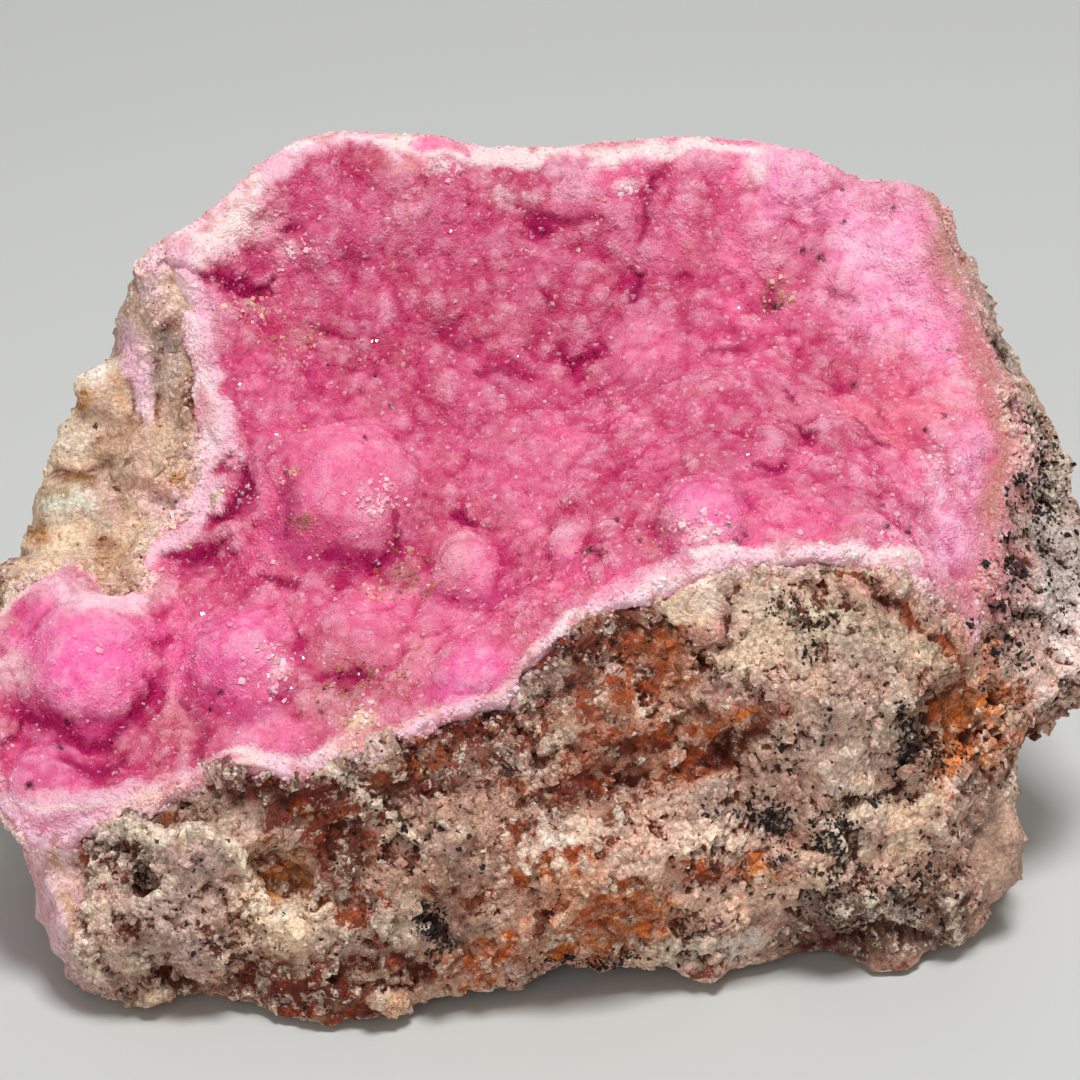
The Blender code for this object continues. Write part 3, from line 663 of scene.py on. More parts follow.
def shape_crust(s):
    lift_corner(s)
    s.soften(2, 0.5)
    s.rim = rim_distance(s.points)
    inner = ease(s.normals[:, 2], -0.05, 0.25) * ease(s.rim, 0.3, 2.2)
    bent = s.points + 1.1 * np.column_stack((s.wander, s.fray))
    s.knobs = [
        knobs(bent, LARGE_KNOB, 31),
        knobs(bent, MIDDLE_KNOB, 32),
        knobs(s.points + 0.3 * bent, SMALL_KNOB, 34),
    ]
    height = 0.7 * s.knobs[0][0] - 0.3
    for across, down, size, up in CRUST_LUMPS:
        u, v = (s.seen[:, 0] - across) / size, (s.seen[:, 1] - down) / size
        r = np.hypot(u, v * 1.1) + 0.12 * s.wander[:, 0] + 0.03 * s.fray
        lower = ease(v, -0.7, 0.6)
        cap = np.clip(1 - r * r, 0, 1)
        height += up * ((1 - lower) * cap * cap + lower * cap**1.35)
    s.raise_by(height * inner)
    s.soften(2, 0.4)
    height = 0.42 * s.knobs[1][0] + 0.12 * cloud(s.points, 3.0, 33)
    for route, half_width, depth, crease_shade in CRUST_CREASES:
        height -= 0.42 * depth * s.line(route, half_width * 1.3, 0.95, 1.6)
    s.raise_by(height * np.maximum(inner, 0.2))
    s.calm = np.zeros(s.count)
    for across, down, size, up in BIG_LUMPS:
        s.calm = np.maximum(s.calm, s.oval(across, down, size, size, 0, 0.4, 0.2))
    height = (0.24 * s.knobs[2][0] + 0.10 * cloud(s.points, 1.1, 35, 2)) * (1 - 0.5 * s.calm)
    side = (1 - ease(s.normals[:, 2], 0.1, 0.5)) * (1 - ease(s.rim, 1.2, 2.2))
    broken = 0.35 * cloud(s.points, 2.4, 36, 3) + 0.22 * chips(s.points, RIM_CHIP, 37) - 0.15
    s.raise_by(height * np.maximum(inner, 0.35) + side * broken)
    s.top = ease(s.normals[:, 2], -0.1, 0.15)


def paint_crust(s):
    s.colour("rose", np.ones(s.count))
    s.colour("deep_rose", 0.8 * s.mottle(14.0, 41, -0.15, 0.6))
    s.colour("soft_pink", 0.6 * s.mottle(8.0, 42, 0.0, 0.6, 5, 0.6))
    for name, across, down, wide, high, turn, strength in CRUST_PATCHES:
        s.colour(name, strength * s.oval(across, down, wide, high, turn, 0.45, 0.35))
    small, large = s.hollows(8), s.hollows(60)
    calm = s.calm
    lilac = np.zeros(s.count)
    for across, down, wide, high, turn in LILAC_SWEEP:
        lilac = np.maximum(lilac, s.oval(across, down, wide, high, turn, 0.6, 0.6))
    lively = 1 - np.maximum(0.75 * calm, 0.45 * lilac)
    s.colour("deep_rose", 0.55 * lively * s.mottle(3.6, 47, -0.1, 0.5, 4, 0.6))
    s.colour("crimson", 0.40 * lively * s.mottle(3.0, 48, 0.15, 0.7, 4, 0.7))
    s.colour("soft_pink", 0.40 * s.mottle(2.4, 49, 0.2, 0.7, 4, 0.7))
    # Painted shade: crimson in the seams between the knobs. Painted highlight: pale pink on the knobs' tops.
    for (height, seam_shade), strength in zip(s.knobs, (0.6, 0.6, 0.5)):
        s.colour("crimson", strength * lively * seam_shade * s.mottle(7.0, 50, -0.4, 0.5, 3))
        s.colour("pale_pink", 0.28 * strength * ease(height, 0.45, 0.95))
    s.colour("lilac_pink", 0.4 * lilac * s.mottle(4.0, 53, -0.3, 0.4, 4, 0.6))
    s.colour("pale_pink", 0.6 * lilac * s.mottle(2.6, 54, 0.0, 0.5, 4, 0.7))
    s.colour("dusty_pink", 0.4 * lively * s.mottle(2.2, 55, 0.2, 0.6, 4, 0.7))
    frost = cloud(s.points, 0.85, 56, 2, 0.7)
    s.colour("pale_pink", (0.1 + 0.3 * lilac) * (1 - 0.5 * calm) * ease(frost, 0.1, 0.5))
    s.colour("deep_rose", (0.22 - 0.1 * lilac) * (1 - 0.5 * calm) * ease(-frost, 0.1, 0.5))
    # Painted shade: magenta in the broad hollows and crimson in the small ones. Painted highlight: pale pink
    # on the small rises.
    s.colour("magenta", 0.85 * (1 - 0.6 * lilac) * ease(large, 0.08, 0.6))
    s.colour("crimson", 0.5 * (1 - 0.6 * lilac) * ease(small, 0.04, 0.16))
    s.colour("pale_pink", 0.2 * ease(-small, 0.04, 0.14))
    # Painted shade: magenta on the lower side of each big knob and at its foot.
    for across, down, size, up in BIG_LUMPS:
        r = np.hypot(s.seen[:, 0] - across, s.seen[:, 1] - down) / size + 0.1 * s.wander[:, 0]
        under = ease(r, 0.62, 0.98) * (1 - ease(r, 1.05, 1.3)) * ease((s.seen[:, 1] - down) / size, 0.0, 0.7)
        s.colour("magenta", 0.55 * min(1.0, up) * under)
    # Painted shade along each crease: crimson, then magenta, then wine in its middle.
    for route, half_width, depth, crease_shade in CRUST_CREASES:
        s.colour("crimson", 0.8 * crease_shade * s.line(route, half_width * 1.1, 0.9, 1.6))
        s.colour("magenta", 0.85 * crease_shade * s.line(route, half_width * 0.8, 0.8, 1.6))
        s.colour("wine", 0.6 * crease_shade * s.line(route, half_width * 0.5, 0.7, 1.6))
    for name, route, half_width, strength in CRUST_BANDS:
        s.colour(name, strength * s.line(route, half_width, 0.5))
    edge = s.rim + 1.0 * cloud(s.points, 2.5, 43, 4, 0.7)
    pale = 1 - ease(edge, 0.2, 1.5)
    s.colour("pale_pink", pale)
    s.colour("milk", pale * s.mottle(4.0, 44, 0.0, 0.5, 3) * 0.6)
    s.colour("peach", pale * s.mottle(6.0, 45, 0.2, 0.6, 3) * 0.6)
    side = (1 - ease(s.normals[:, 2], -0.3, 0.1)) * (1 - ease(s.rim, 1.0, 2.0))
    s.colour("pale_pink", side * 0.9)
    s.colour("salmon", side * s.mottle(5.0, 46, 0.0, 0.5, 3) * 0.6)
    s.colour("dusty_pink", 0.7 * (1 - ease(edge, 0.6, 2.4)) * s.mottle(1.8, 51, 0.1, 0.5, 3, 0.7))
    right = ease(s.points[:, 0], 26, 36) * (1 - ease(edge, 0.6, 4.5))
    s.colour("dusty_pink", 0.55 * right)
    s.colour("taupe", 0.5 * right * s.mottle(2.2, 52, -0.1, 0.4, 4, 0.7))
    for across, down, size in CRUST_DOTS:
        s.colour("garnet", 0.95 * s.oval(across, down, 0.8 * size, 0.7 * size, 0, 0.4, 0.3))
    s.sparkle = s.top * (1 - 0.6 * pale) * (1 - 0.35 * calm)


shape_crust(crust)
paint_crust(crust)

# ---------------------------------------------------------------- relief and colour of the rock

ROCK_CREASES = (
    # route, half width, depth in mm (less than nothing is a ridge), colour, strength
    # Painted shadow under the small overhang at the lower left: this line and the next.
    (((125, 866), (145, 862), (166, 860)), 4, 0.5, "soot_and_shade", 0.9),
    (((108, 862), (128, 872), (150, 868)), 3, 0.3, "maroon", 0.8),
    (
        (
            (120, 845),
            (150, 838),
            (200, 832),
            (228, 846),
            (246, 868),
            (250, 896),
            (262, 915),
            (288, 926),
            (340, 914),
        ),
        8,
        -0.5,
        "cream",
        0.75,
    ),
    (((430, 738), (480, 716), (545, 700)), 13, 0.7, "maroon", 0.8),
    (((500, 768), (545, 768)), 3, -0.3, "milk", 0.7),
    (
        ((663, 582), (690, 573), (720, 570), (731, 586), (725, 606), (716, 640), (705, 656)),
        4,
        0.35,
        "umber",
        0.9,
    ),
    (((664, 600), (672, 588), (700, 578)), 4, 0.3, "umber", 0.8),
    (((900, 784), (870, 798), (845, 806), (812, 816)), 5, 0.35, "umber", 0.8),
    (((676, 938), (700, 934), (727, 931)), 4, 0.4, "umber", 0.9),
    (((320, 775), (360, 800), (420, 842)), 6, -0.3, "cream", 0.8),
    (((790, 700), (762, 722), (742, 745), (705, 762)), 11, 0.35, "maroon", 0.8),
    (((665, 738), (640, 750), (618, 765), (602, 790), (610, 812)), 13, 0.35, "maroon", 0.8),
    (((545, 778), (590, 765), (640, 764)), 13, 0.3, "maroon", 0.7),
    (((545, 668), (570, 640), (610, 622), (655, 622)), 15, 0.3, "maroon", 0.9),
    (((690, 640), (672, 668), (640, 690), (600, 700)), 10, 0.2, "rust", 0.7),
    (((540, 700), (575, 690), (610, 690)), 9, 0.3, "chestnut", 0.6),
    (((700, 660), (712, 652), (720, 640)), 5, 0.3, "maroon", 0.8),
    (((540, 925), (590, 900), (640, 905)), 10, 0.2, "rust", 0.6),
    (((540, 880), (560, 860), (600, 850), (640, 850)), 8, 0.2, "rust", 0.6),
    (((700, 880), (735, 872), (760, 862)), 8, 0.2, "rust", 0.6),
    (((540, 955), (570, 938), (640, 935)), 9, 0.2, "orange", 0.8),
    (((180, 840), (230, 800), (300, 772)), 10, 0.2, "maroon", 0.5),
    (((330, 790), (370, 800), (400, 830)), 12, 0.2, "maroon", 0.5),
    (((916, 704), (912, 740), (898, 772)), 9, 0.7, "soot_and_shade", 0.85),
    (((912, 706), (938, 688), (968, 674)), 5, 0.5, "maroon", 0.9),
    # Painted shadow under the overhanging lump at the lower right.
    (((835, 936), (870, 924), (910, 928), (950, 936)), 6, 0.8, "umber", 0.85),
    (((896, 892), (912, 905), (905, 922)), 6, 0.6, "soot_and_shade", 0.8),
    (((430, 905), (437, 925), (445, 942)), 8, 0.6, "soot_and_shade", 0.95),
    (((690, 935), (722, 922), (735, 930)), 5, 0.4, "umber", 0.85),
    (((152, 970), (172, 976), (186, 984)), 8, 0.8, "soot_and_shade", 0.95),
    (((186, 986), (222, 994)), 5, 0.4, "maroon", 0.9),
    (((370, 930), (392, 950), (415, 965)), 8, 0.3, "maroon", 0.7),
    (((850, 812), (880, 800), (900, 785)), 4, 0.3, "umber", 0.6),
    (((960, 340), (1000, 352), (1010, 380)), 7, 0.3, "soot_and_shade", 0.7),
    (((818, 562), (865, 578), (905, 602), (940, 640), (966, 676)), 5, 0.2, "rust", 0.9),
    (((655, 602), (680, 581), (706, 573), (728, 587), (722, 612), (708, 642)), 4, 0.3, "chestnut", 0.9),
    (((540, 652), (575, 625), (620, 612), (655, 606)), 6, 0.2, "maroon", 0.8),
    (((120, 345), (126, 380), (140, 425)), 4, 0.25, "chestnut", 0.7),
    (((152, 330), (160, 370), (165, 420)), 4, 0.25, "chestnut", 0.7),
    (((60, 452), (90, 446), (125, 430)), 3, 0.25, "chestnut", 0.6),
    (((50, 478), (90, 466), (130, 458)), 3, 0.25, "chestnut", 0.6),
    (((112, 470), (125, 500), (120, 530)), 3, 0.25, "chestnut", 0.6),
    (
        ((112, 826), (155, 822), (200, 832), (238, 852), (250, 885), (270, 915), (320, 922)),
        6,
        -0.35,
        "bone",
        0.8,
    ),
    (((42, 845), (58, 870), (68, 905), (72, 950)), 4, 0.1, "tan", 0.8),
    (((330, 770), (380, 800), (420, 840)), 6, -0.2, "bone", 0.7),
)

ROCK_LUMPS = (
    # across, down, wide, high, height in mm
    (142, 880, 11, 11, -1.2),
    (280, 880, 32, 28, -0.9),
    (706, 665, 8, 8, -1.0),
    (960, 728, 38, 42, -0.8),
    (405, 925, 30, 26, 0.7),
    (700, 972, 22, 16, 0.8),
    (1010, 860, 22, 30, 0.5),
    (590, 882, 34, 18, 0.5),
    (840, 700, 70, 70, 0.5),
    (130, 915, 70, 45, 0.4),
    (300, 1010, 40, 22, -0.7),
    (255, 975, 16, 14, -0.7),
    (95, 845, 28, 13, -0.4),
    (240, 785, 40, 16, -0.3),
    (82, 402, 26, 26, 1.5),
    (62, 445, 18, 24, 0.6),
    (92, 368, 16, 12, -0.6),
    (190, 885, 52, 46, 0.5),
    (860, 945, 70, 16, -0.6),
    (152, 250, 18, 16, 0.3),
    (138, 312, 22, 44, 1.4),
    (165, 350, 8, 20, -0.4),
    (112, 358, 16, 7, -0.5),
    (100, 372, 22, 16, 0.5),
    (70, 500, 24, 16, 0.5),
    (112, 462, 40, 7, -0.4),
    (24, 548, 16, 14, 0.5),
    (56, 450, 20, 30, 0.5),
    (1066, 445, 26, 84, -1.4),
    (1068, 470, 24, 40, -0.9),
)

ROCK_PATCHES = (
    # colour, across, down, wide, high, turn, strength
    ("pink_taupe", 640, 850, 140, 120, 0, 0.5),
    ("peach", 600, 900, 110, 60, 0, 0.6),
    ("umber", 290, 800, 90, 40, 10, 0.7),
    ("rust", 320, 830, 80, 40, 0, 0.45),
    ("maroon", 260, 775, 45, 14, 0, 0.6),
    ("chestnut", 350, 850, 50, 50, 0, 0.6),
    ("chestnut", 160, 810, 50, 16, -8, 0.5),
    ("maroon", 98, 845, 26, 14, 0, 0.85),
    ("grey_taupe", 130, 910, 75, 55, 0, 0.6),
    ("lilac_grey", 50, 895, 20, 80, 5, 0.9),
    ("dusty_pink", 78, 870, 10, 26, 0, 0.5),
    ("chestnut", 132, 932, 20, 16, 0, 0.7),
    ("pink_taupe", 225, 870, 26, 28, 0, 0.8),
    ("ochre", 278, 882, 30, 26, 0, 0.85),
    ("olive_brown", 262, 905, 18, 14, 0, 0.5),
    ("soot_and_shade", 142, 880, 10, 10, 0, 0.95),
    ("cream", 300, 948, 50, 20, -8, 0.7),
    ("cream", 370, 990, 26, 18, 0, 0.6),
    ("maroon", 300, 1002, 62, 34, 5, 1.0),
    ("tan", 300, 998, 60, 30, 5, 0.8),
    ("maroon", 300, 1002, 62, 34, 5, 1.0),
    ("rust", 330, 985, 30, 14, 5, 0.5),
    ("maroon", 255, 976, 18, 16, 0, 0.95),
    ("maroon", 205, 990, 22, 7, 10, 0.9),
    ("maroon", 395, 950, 22, 12, 20, 0.75),
    ("green_white", 405, 922, 28, 24, 0, 0.6),
    ("taupe", 405, 925, 30, 28, 0, 0.4),
    ("rust", 450, 890, 34, 16, 0, 0.7),
    ("maroon", 470, 912, 20, 8, 0, 0.7),
    ("umber", 470, 760, 60, 22, -5, 0.5),
    ("grey_taupe", 400, 770, 50, 26, 0, 0.5),
    ("orange", 470, 955, 70, 24, 0, 0.55),
    ("orange", 535, 900, 22, 60, 0, 0.6),
    ("rust", 540, 905, 18, 36, 0, 0.5),
    ("chestnut", 540, 800, 40, 40, 0, 0.45),
    ("chestnut", 620, 660, 90, 60, 0, 0.5),
    ("rust", 630, 640, 80, 30, 5, 0.8),
    ("maroon", 600, 632, 64, 22, -6, 0.85),
    ("rust", 672, 650, 30, 28, 0, 0.9),
    ("ochre", 670, 668, 26, 20, 0, 0.45),
    ("maroon", 545, 660, 26, 26, 0, 0.6),
    ("rust", 625, 705, 60, 26, -20, 0.6),
    ("grey_taupe", 560, 670, 22, 18, 0, 0.5),
    ("milk", 607, 630, 9, 5, 0, 0.7),
    ("milk", 612, 668, 9, 14, 10, 0.7),
    ("cream", 640, 698, 9, 22, 0, 0.7),
    ("cream", 697, 597, 32, 24, -20, 0.95),
    ("milk", 705, 590, 18, 14, 0, 0.5),
    ("cream", 655, 612, 22, 12, 0, 0.7),
    ("dusty_pink", 716, 620, 8, 26, 10, 0.5),
    ("maroon", 706, 665, 8, 8, 0, 0.95),
    ("green_white", 800, 630, 75, 40, 0, 0.45),
    ("grey_taupe", 880, 640, 60, 40, 0, 0.5),
    ("peach", 800, 582, 80, 10, 3, 0.6),
    ("dusty_pink", 880, 592, 40, 10, 20, 0.6),
    ("pink_taupe", 850, 735, 60, 55, 0, 0.65),
    ("cream", 740, 648, 22, 18, 0, 0.6),
    ("dusty_pink", 750, 692, 36, 16, 0, 0.6),
    ("rust", 775, 710, 22, 10, -40, 0.6),
    ("maroon", 745, 752, 22, 8, -40, 0.6),
    ("rust", 640, 742, 56, 18, -8, 0.6),
    ("maroon", 605, 795, 30, 20, 0, 0.6),
    ("cream", 540, 730, 30, 14, 0, 0.5),
    ("grey_taupe", 700, 800, 50, 22, 0, 0.5),
    ("milk", 568, 868, 24, 9, 0, 0.7),
    ("tan", 590, 905, 44, 24, 0, 0.7),
    ("rust", 585, 890, 60, 40, 0, 0.6),
    ("orange", 640, 905, 50, 30, 0, 0.45),
    ("cream", 590, 905, 24, 10, 0, 0.5),
    ("cream", 640, 868, 18, 12, 0, 0.6),
    ("maroon", 596, 850, 12, 8, 0, 0.8),
    ("maroon", 628, 876, 16, 7, 0, 0.75),
    ("tan", 600, 940, 70, 26, -5, 0.6),
    ("rust", 590, 945, 70, 22, -5, 0.75),
    ("orange", 600, 950, 40, 14, -5, 0.4),
    ("rust", 620, 930, 30, 12, -10, 0.7),
    ("rust", 560, 935, 22, 16, 0, 0.6),
    ("ochre", 760, 876, 26, 12, 0, 0.7),
    ("cream", 770, 900, 34, 12, 10, 0.65),
    ("rust", 725, 872, 14, 10, 0, 0.6),
    ("green_white", 700, 950, 80, 12, -4, 0.6),
    ("milk", 740, 948, 20, 10, 0, 0.5),
    ("dusty_pink", 702, 975, 20, 14, 0, 0.8),
    ("chestnut", 698, 970, 9, 6, 0, 0.8),
    ("soot_and_shade", 775, 826, 22, 11, 10, 0.9),
    ("soot_and_shade", 838, 832, 15, 13, -20, 0.85),
    ("soot_and_shade", 800, 618, 16, 8, 60, 0.5),
    ("rust", 805, 838, 14, 10, 0, 0.6),
    ("cream", 900, 815, 34, 12, -5, 0.6),
    ("orange", 962, 722, 36, 40, 0, 0.95),
    ("ochre", 945, 750, 24, 20, 0, 0.6),
    ("chestnut", 935, 768, 16, 10, 0, 0.6),
    ("milk", 956, 790, 13, 9, 0, 0.9),
    ("chestnut", 900, 745, 18, 34, 0, 0.5),
    ("taupe", 930, 880, 60, 34, -10, 0.5),
    ("chestnut", 950, 880, 50, 30, -10, 0.4),
    ("cream", 920, 846, 20, 12, 0, 0.6),
    ("taupe", 1012, 858, 20, 28, 0, 0.7),
    # Painted shadow under the overhanging lump at the lower right: this row and the next.
    ("umber", 880, 955, 50, 20, 0, 0.6),
    ("maroon", 850, 962, 40, 10, 10, 0.7),
    ("dusty_pink", 985, 600, 22, 80, 0, 0.55),
    ("tan", 1000, 520, 16, 60, 0, 0.5),
    ("umber", 1015, 590, 16, 80, 0, 0.5),
    ("lilac_grey", 1056, 610, 30, 90, 0, 0.95),
    ("bone", 1060, 620, 26, 70, 0, 0.85),
    ("milk", 1060, 610, 20, 66, 0, 0.9),
    ("tan", 950, 230, 14, 40, -30, 0.5),
    ("grey_taupe", 985, 300, 18, 60, -20, 0.6),
    ("cream", 95, 440, 130, 170, 0, 0.9),
    ("tan", 45, 530, 40, 40, 0, 0.5),
    ("grey_taupe", 172, 335, 24, 34, 0, 0.6),
    ("taupe", 180, 390, 20, 46, 0, 0.6),
    ("lilac_grey", 142, 385, 18, 36, 10, 0.95),
    ("green_white", 104, 368, 18, 14, -30, 0.85),
    ("olive_brown", 100, 430, 40, 40, 0, 0.4),
    ("peach", 168, 485, 24, 22, 0, 0.75),
    ("ochre", 70, 470, 16, 18, 0, 0.5),
    ("olive_brown", 75, 478, 14, 10, 0, 0.6),
    ("green_white", 60, 500, 26, 20, 0, 0.45),
    ("cream", 30, 552, 16, 14, -50, 0.7),
    ("cream", 40, 570, 26, 14, -30, 0.6),
    ("tan", 105, 565, 26, 20, 0, 0.9),
    ("chestnut", 175, 330, 8, 10, 0, 0.6),
    ("chestnut", 140, 484, 8, 10, 0, 0.6),
    ("pink_taupe", 116, 412, 26, 30, 0, 0.8),
    ("tan", 112, 420, 24, 26, 0, 0.6),
    ("taupe", 60, 500, 26, 30, 0, 0.6),
    ("taupe", 112, 488, 24, 50, 0, 0.7),
    ("ash", 108, 500, 16, 22, 0, 0.7),
    ("tan", 168, 328, 12, 12, 0, 0.9),
    ("tan", 190, 395, 12, 26, 0, 0.8),
    ("grey_taupe", 168, 360, 16, 26, 0, 0.8),
    ("ash", 172, 366, 8, 16, 0, 0.8),
    ("bone", 98, 372, 20, 16, -40, 0.9),
    ("green_white", 104, 366, 14, 12, -30, 0.8),
    ("lilac_grey", 139, 378, 14, 40, -12, 1.0),
    ("pink_taupe", 142, 432, 20, 20, 0, 0.8),
    ("tan", 56, 494, 12, 10, 0, 0.9),
    ("olive_brown", 78, 480, 12, 9, 0, 0.9),
    ("olive_brown", 54, 495, 8, 7, 0, 0.9),
    ("peach", 180, 482, 18, 16, 0, 0.8),
    ("bone", 84, 450, 20, 20, 0, 0.7),
    ("tan", 105, 570, 20, 22, 0, 0.8),
    ("chestnut", 186, 400, 7, 12, 0, 0.7),
    ("chestnut", 166, 322, 8, 7, 0, 0.7),
    ("maroon", 555, 645, 46, 24, -35, 1.0),
    ("maroon", 480, 718, 70, 16, -15, 0.9),
    ("umber", 440, 790, 34, 60, 0, 0.7),
    ("maroon", 445, 770, 30, 40, 0, 0.6),
    ("maroon", 500, 745, 40, 18, 0, 0.7),
    ("maroon", 245, 775, 54, 24, 0, 0.95),
    ("umber", 225, 812, 24, 18, 0, 0.8),
    ("maroon", 340, 822, 44, 34, 0, 0.8),
    ("umber", 375, 778, 34, 18, 0, 0.7),
    ("maroon", 95, 838, 36, 16, -15, 0.95),
    ("umber", 150, 800, 62, 15, -8, 0.9),
    ("maroon", 175, 802, 44, 14, -8, 0.7),
    ("umber", 150, 868, 30, 9, 0, 0.8),
    ("maroon", 525, 835, 30, 22, 0, 0.9),
    ("maroon", 590, 800, 40, 20, 0, 0.8),
    ("maroon", 630, 758, 40, 14, -8, 0.6),
    ("rust", 690, 735, 60, 18, -20, 0.7),
    ("rust", 742, 738, 46, 18, -40, 0.9),
    ("rust", 700, 770, 24, 10, -30, 0.6),
    ("rust", 688, 635, 16, 18, 0, 0.9),
    ("maroon", 690, 630, 14, 12, 0, 0.7),
    ("maroon", 462, 880, 34, 16, 0, 0.8),
    ("umber", 448, 922, 16, 30, 0, 0.9),
    ("rust", 525, 880, 20, 40, 0, 0.8),
    ("rust", 600, 935, 60, 18, -5, 0.8),
    ("maroon", 398, 958, 24, 28, 0, 0.9),
    ("umber", 340, 992, 20, 22, 0, 0.8),
    ("chestnut", 860, 962, 70, 12, 5, 0.6),
    ("umber", 880, 915, 66, 26, 5, 0.6),
    ("umber", 950, 885, 40, 26, -20, 0.6),
    ("umber", 850, 838, 22, 14, 0, 0.6),
    ("maroon", 130, 935, 20, 16, 0, 0.7),
    ("bone", 150, 830, 44, 9, 0, 0.8),
    ("ash", 170, 895, 60, 26, 0, 0.4),
    ("cream", 575, 865, 34, 30, 0, 0.7),
    ("peach", 590, 885, 40, 30, 0, 0.5),
    ("tan", 600, 900, 40, 20, 0, 0.5),
    ("bone", 560, 858, 20, 14, 0, 0.7),
    ("cream", 290, 915, 44, 20, -5, 0.8),
    ("cream", 370, 800, 60, 9, 38, 0.8),
    ("ash", 400, 830, 40, 16, 30, 0.5),
    ("ash", 820, 745, 50, 34, 0, 0.7),
    ("cream", 770, 640, 44, 40, 0, 0.6),
    ("cream", 915, 650, 38, 20, 20, 0.7),
    ("cream", 890, 808, 60, 14, -15, 0.7),
    ("peach", 660, 835, 50, 40, 0, 0.5),
    ("maroon", 597, 851, 14, 8, 0, 0.9),
    ("maroon", 630, 878, 16, 8, 0, 0.9),
    ("rust", 700, 866, 26, 10, -10, 0.8),
    ("orange", 758, 872, 22, 10, 0, 0.4),
    ("orange", 955, 708, 46, 34, -10, 1.0),
    ("orange", 962, 745, 34, 44, 0, 1.0),
    ("rust", 925, 715, 20, 26, 10, 0.7),
    ("peach", 972, 765, 14, 20, 20, 0.6),
    ("ochre", 980, 720, 16, 24, 0, 0.6),
    ("maroon", 945, 682, 34, 10, -15, 0.8),
    ("peach", 985, 715, 10, 30, 0, 0.8),
    ("soot_and_shade", 905, 755, 12, 26, 10, 0.95),
    ("umber", 990, 780, 20, 50, 0, 0.5),
    ("dusty_pink", 1000, 540, 22, 90, -6, 0.8),
    ("umber", 1045, 560, 30, 40, 0, 0.3),
    ("pink_taupe", 1030, 650, 40, 40, 0, 0.6),
    ("rust", 470, 725, 60, 12, -12, 0.7),
    ("chestnut", 620, 690, 80, 30, -25, 0.6),
    ("rust", 585, 700, 40, 14, -35, 0.7),
    ("maroon", 300, 1000, 60, 24, 5, 1.0),
    ("maroon", 375, 965, 20, 14, 30, 0.8),
    ("rust", 350, 840, 60, 30, 30, 0.7),
    ("rust", 420, 760, 50, 16, -20, 0.6),
    ("rust", 460, 960, 60, 16, -8, 0.7),
    ("tan", 410, 880, 60, 30, 20, 0.5),
    ("peach", 740, 905, 50, 20, -5, 0.6),
    ("bone", 700, 835, 60, 16, -10, 0.5),
    ("ash", 860, 700, 60, 50, 0, 0.5),
    ("chestnut", 150, 870, 26, 10, 0, 0.8),
    ("ash", 110, 900, 50, 60, 0, 0.5),
    ("bone", 215, 850, 22, 12, 30, 0.6),
    ("ash", 190, 885, 50, 40, 0, 0.7),
    ("purple_grey", 190, 860, 40, 14, 10, 0.4),
    ("umber", 130, 805, 44, 12, -5, 0.9),
    ("maroon", 240, 772, 50, 22, 0, 1.0),
    ("umber", 262, 790, 40, 18, 10, 0.7),
    ("ash", 250, 820, 50, 16, 10, 0.6),
    ("maroon", 335, 820, 40, 28, 20, 1.0),
    ("umber", 355, 860, 30, 16, 20, 0.6),
    ("ash", 330, 775, 30, 10, 20, 0.6),
    ("umber", 120, 845, 34, 10, 15, 0.9),
    ("soot_and_shade", 140, 853, 20, 5, 8, 0.7),
    # Painted shadow under the overhanging lump at the lower right: this row and the next two.
    ("umber", 880, 930, 74, 26, 0, 0.9),
    ("maroon", 845, 948, 50, 12, 5, 0.9),
    ("umber", 905, 905, 26, 14, 0, 0.8),
    ("grey_taupe", 985, 810, 26, 50, 0, 0.7),
    ("umber", 985, 800, 16, 40, 0, 0.5),
    ("taupe", 1000, 870, 30, 40, 0, 0.6),
    ("bone", 850, 905, 40, 9, -5, 0.4),
    ("milk", 562, 850, 18, 12, 0, 0.6),
    ("umber", 180, 985, 40, 9, 8, 0.8),
    # Painted shadow under the overhanging lump at the lower right.
    ("shade_brown", 880, 935, 90, 34, 0, 1.0),
    ("peach", 690, 745, 26, 10, -10, 0.7),
    ("pink_taupe", 700, 762, 40, 10, -20, 0.8),
    ("bone", 600, 690, 10, 16, 0, 0.7),
    ("bone", 640, 702, 8, 14, 0, 0.7),
    ("bone", 560, 735, 16, 10, 0, 0.6),
    ("orange", 590, 885, 50, 26, 0, 0.45),
    ("rust", 545, 905, 26, 12, -20, 0.6),
    ("bone", 80, 430, 60, 80, 15, 0.3),
    ("milk", 100, 372, 12, 14, 25, 0.7),
    ("milk", 78, 503, 16, 12, -20, 0.6),
    ("cream", 46, 470, 10, 30, 10, 0.7),
    ("pale_pink", 156, 258, 16, 20, 0, 0.95),
    ("lilac_grey", 150, 280, 14, 16, 0, 0.7),
    ("taupe", 136, 312, 14, 26, 15, 0.7),
    ("tan", 114, 340, 12, 10, 15, 0.7),
    ("pale_pink", 139, 376, 13, 40, -14, 0.9),
    ("pale_pink", 156, 410, 13, 14, -20, 0.8),
    ("milk", 134, 362, 9, 30, -14, 0.7),
    ("milk", 152, 404, 8, 12, -20, 0.5),
    ("milk", 1058, 628, 24, 46, 0, 0.6),
    ("shade_brown", 1008, 862, 22, 28, 0, 0.3),
    ("maroon", 575, 640, 40, 12, -20, 0.7),
    ("maroon", 655, 752, 50, 9, -12, 0.7),
    ("maroon", 770, 722, 24, 8, -40, 0.7),
    ("stone", 165, 352, 8, 26, 0, 0.9),
    ("umber", 160, 332, 7, 10, 0, 0.7),
    ("umber", 172, 384, 6, 12, 0, 0.6),
    ("umber", 188, 398, 6, 10, 0, 0.6),
    ("rust", 190, 396, 5, 7, 0, 0.5),
    ("pale_pink", 170, 506, 22, 14, 0, 0.7),
    ("pale_pink", 112, 506, 7, 12, 0, 0.5),
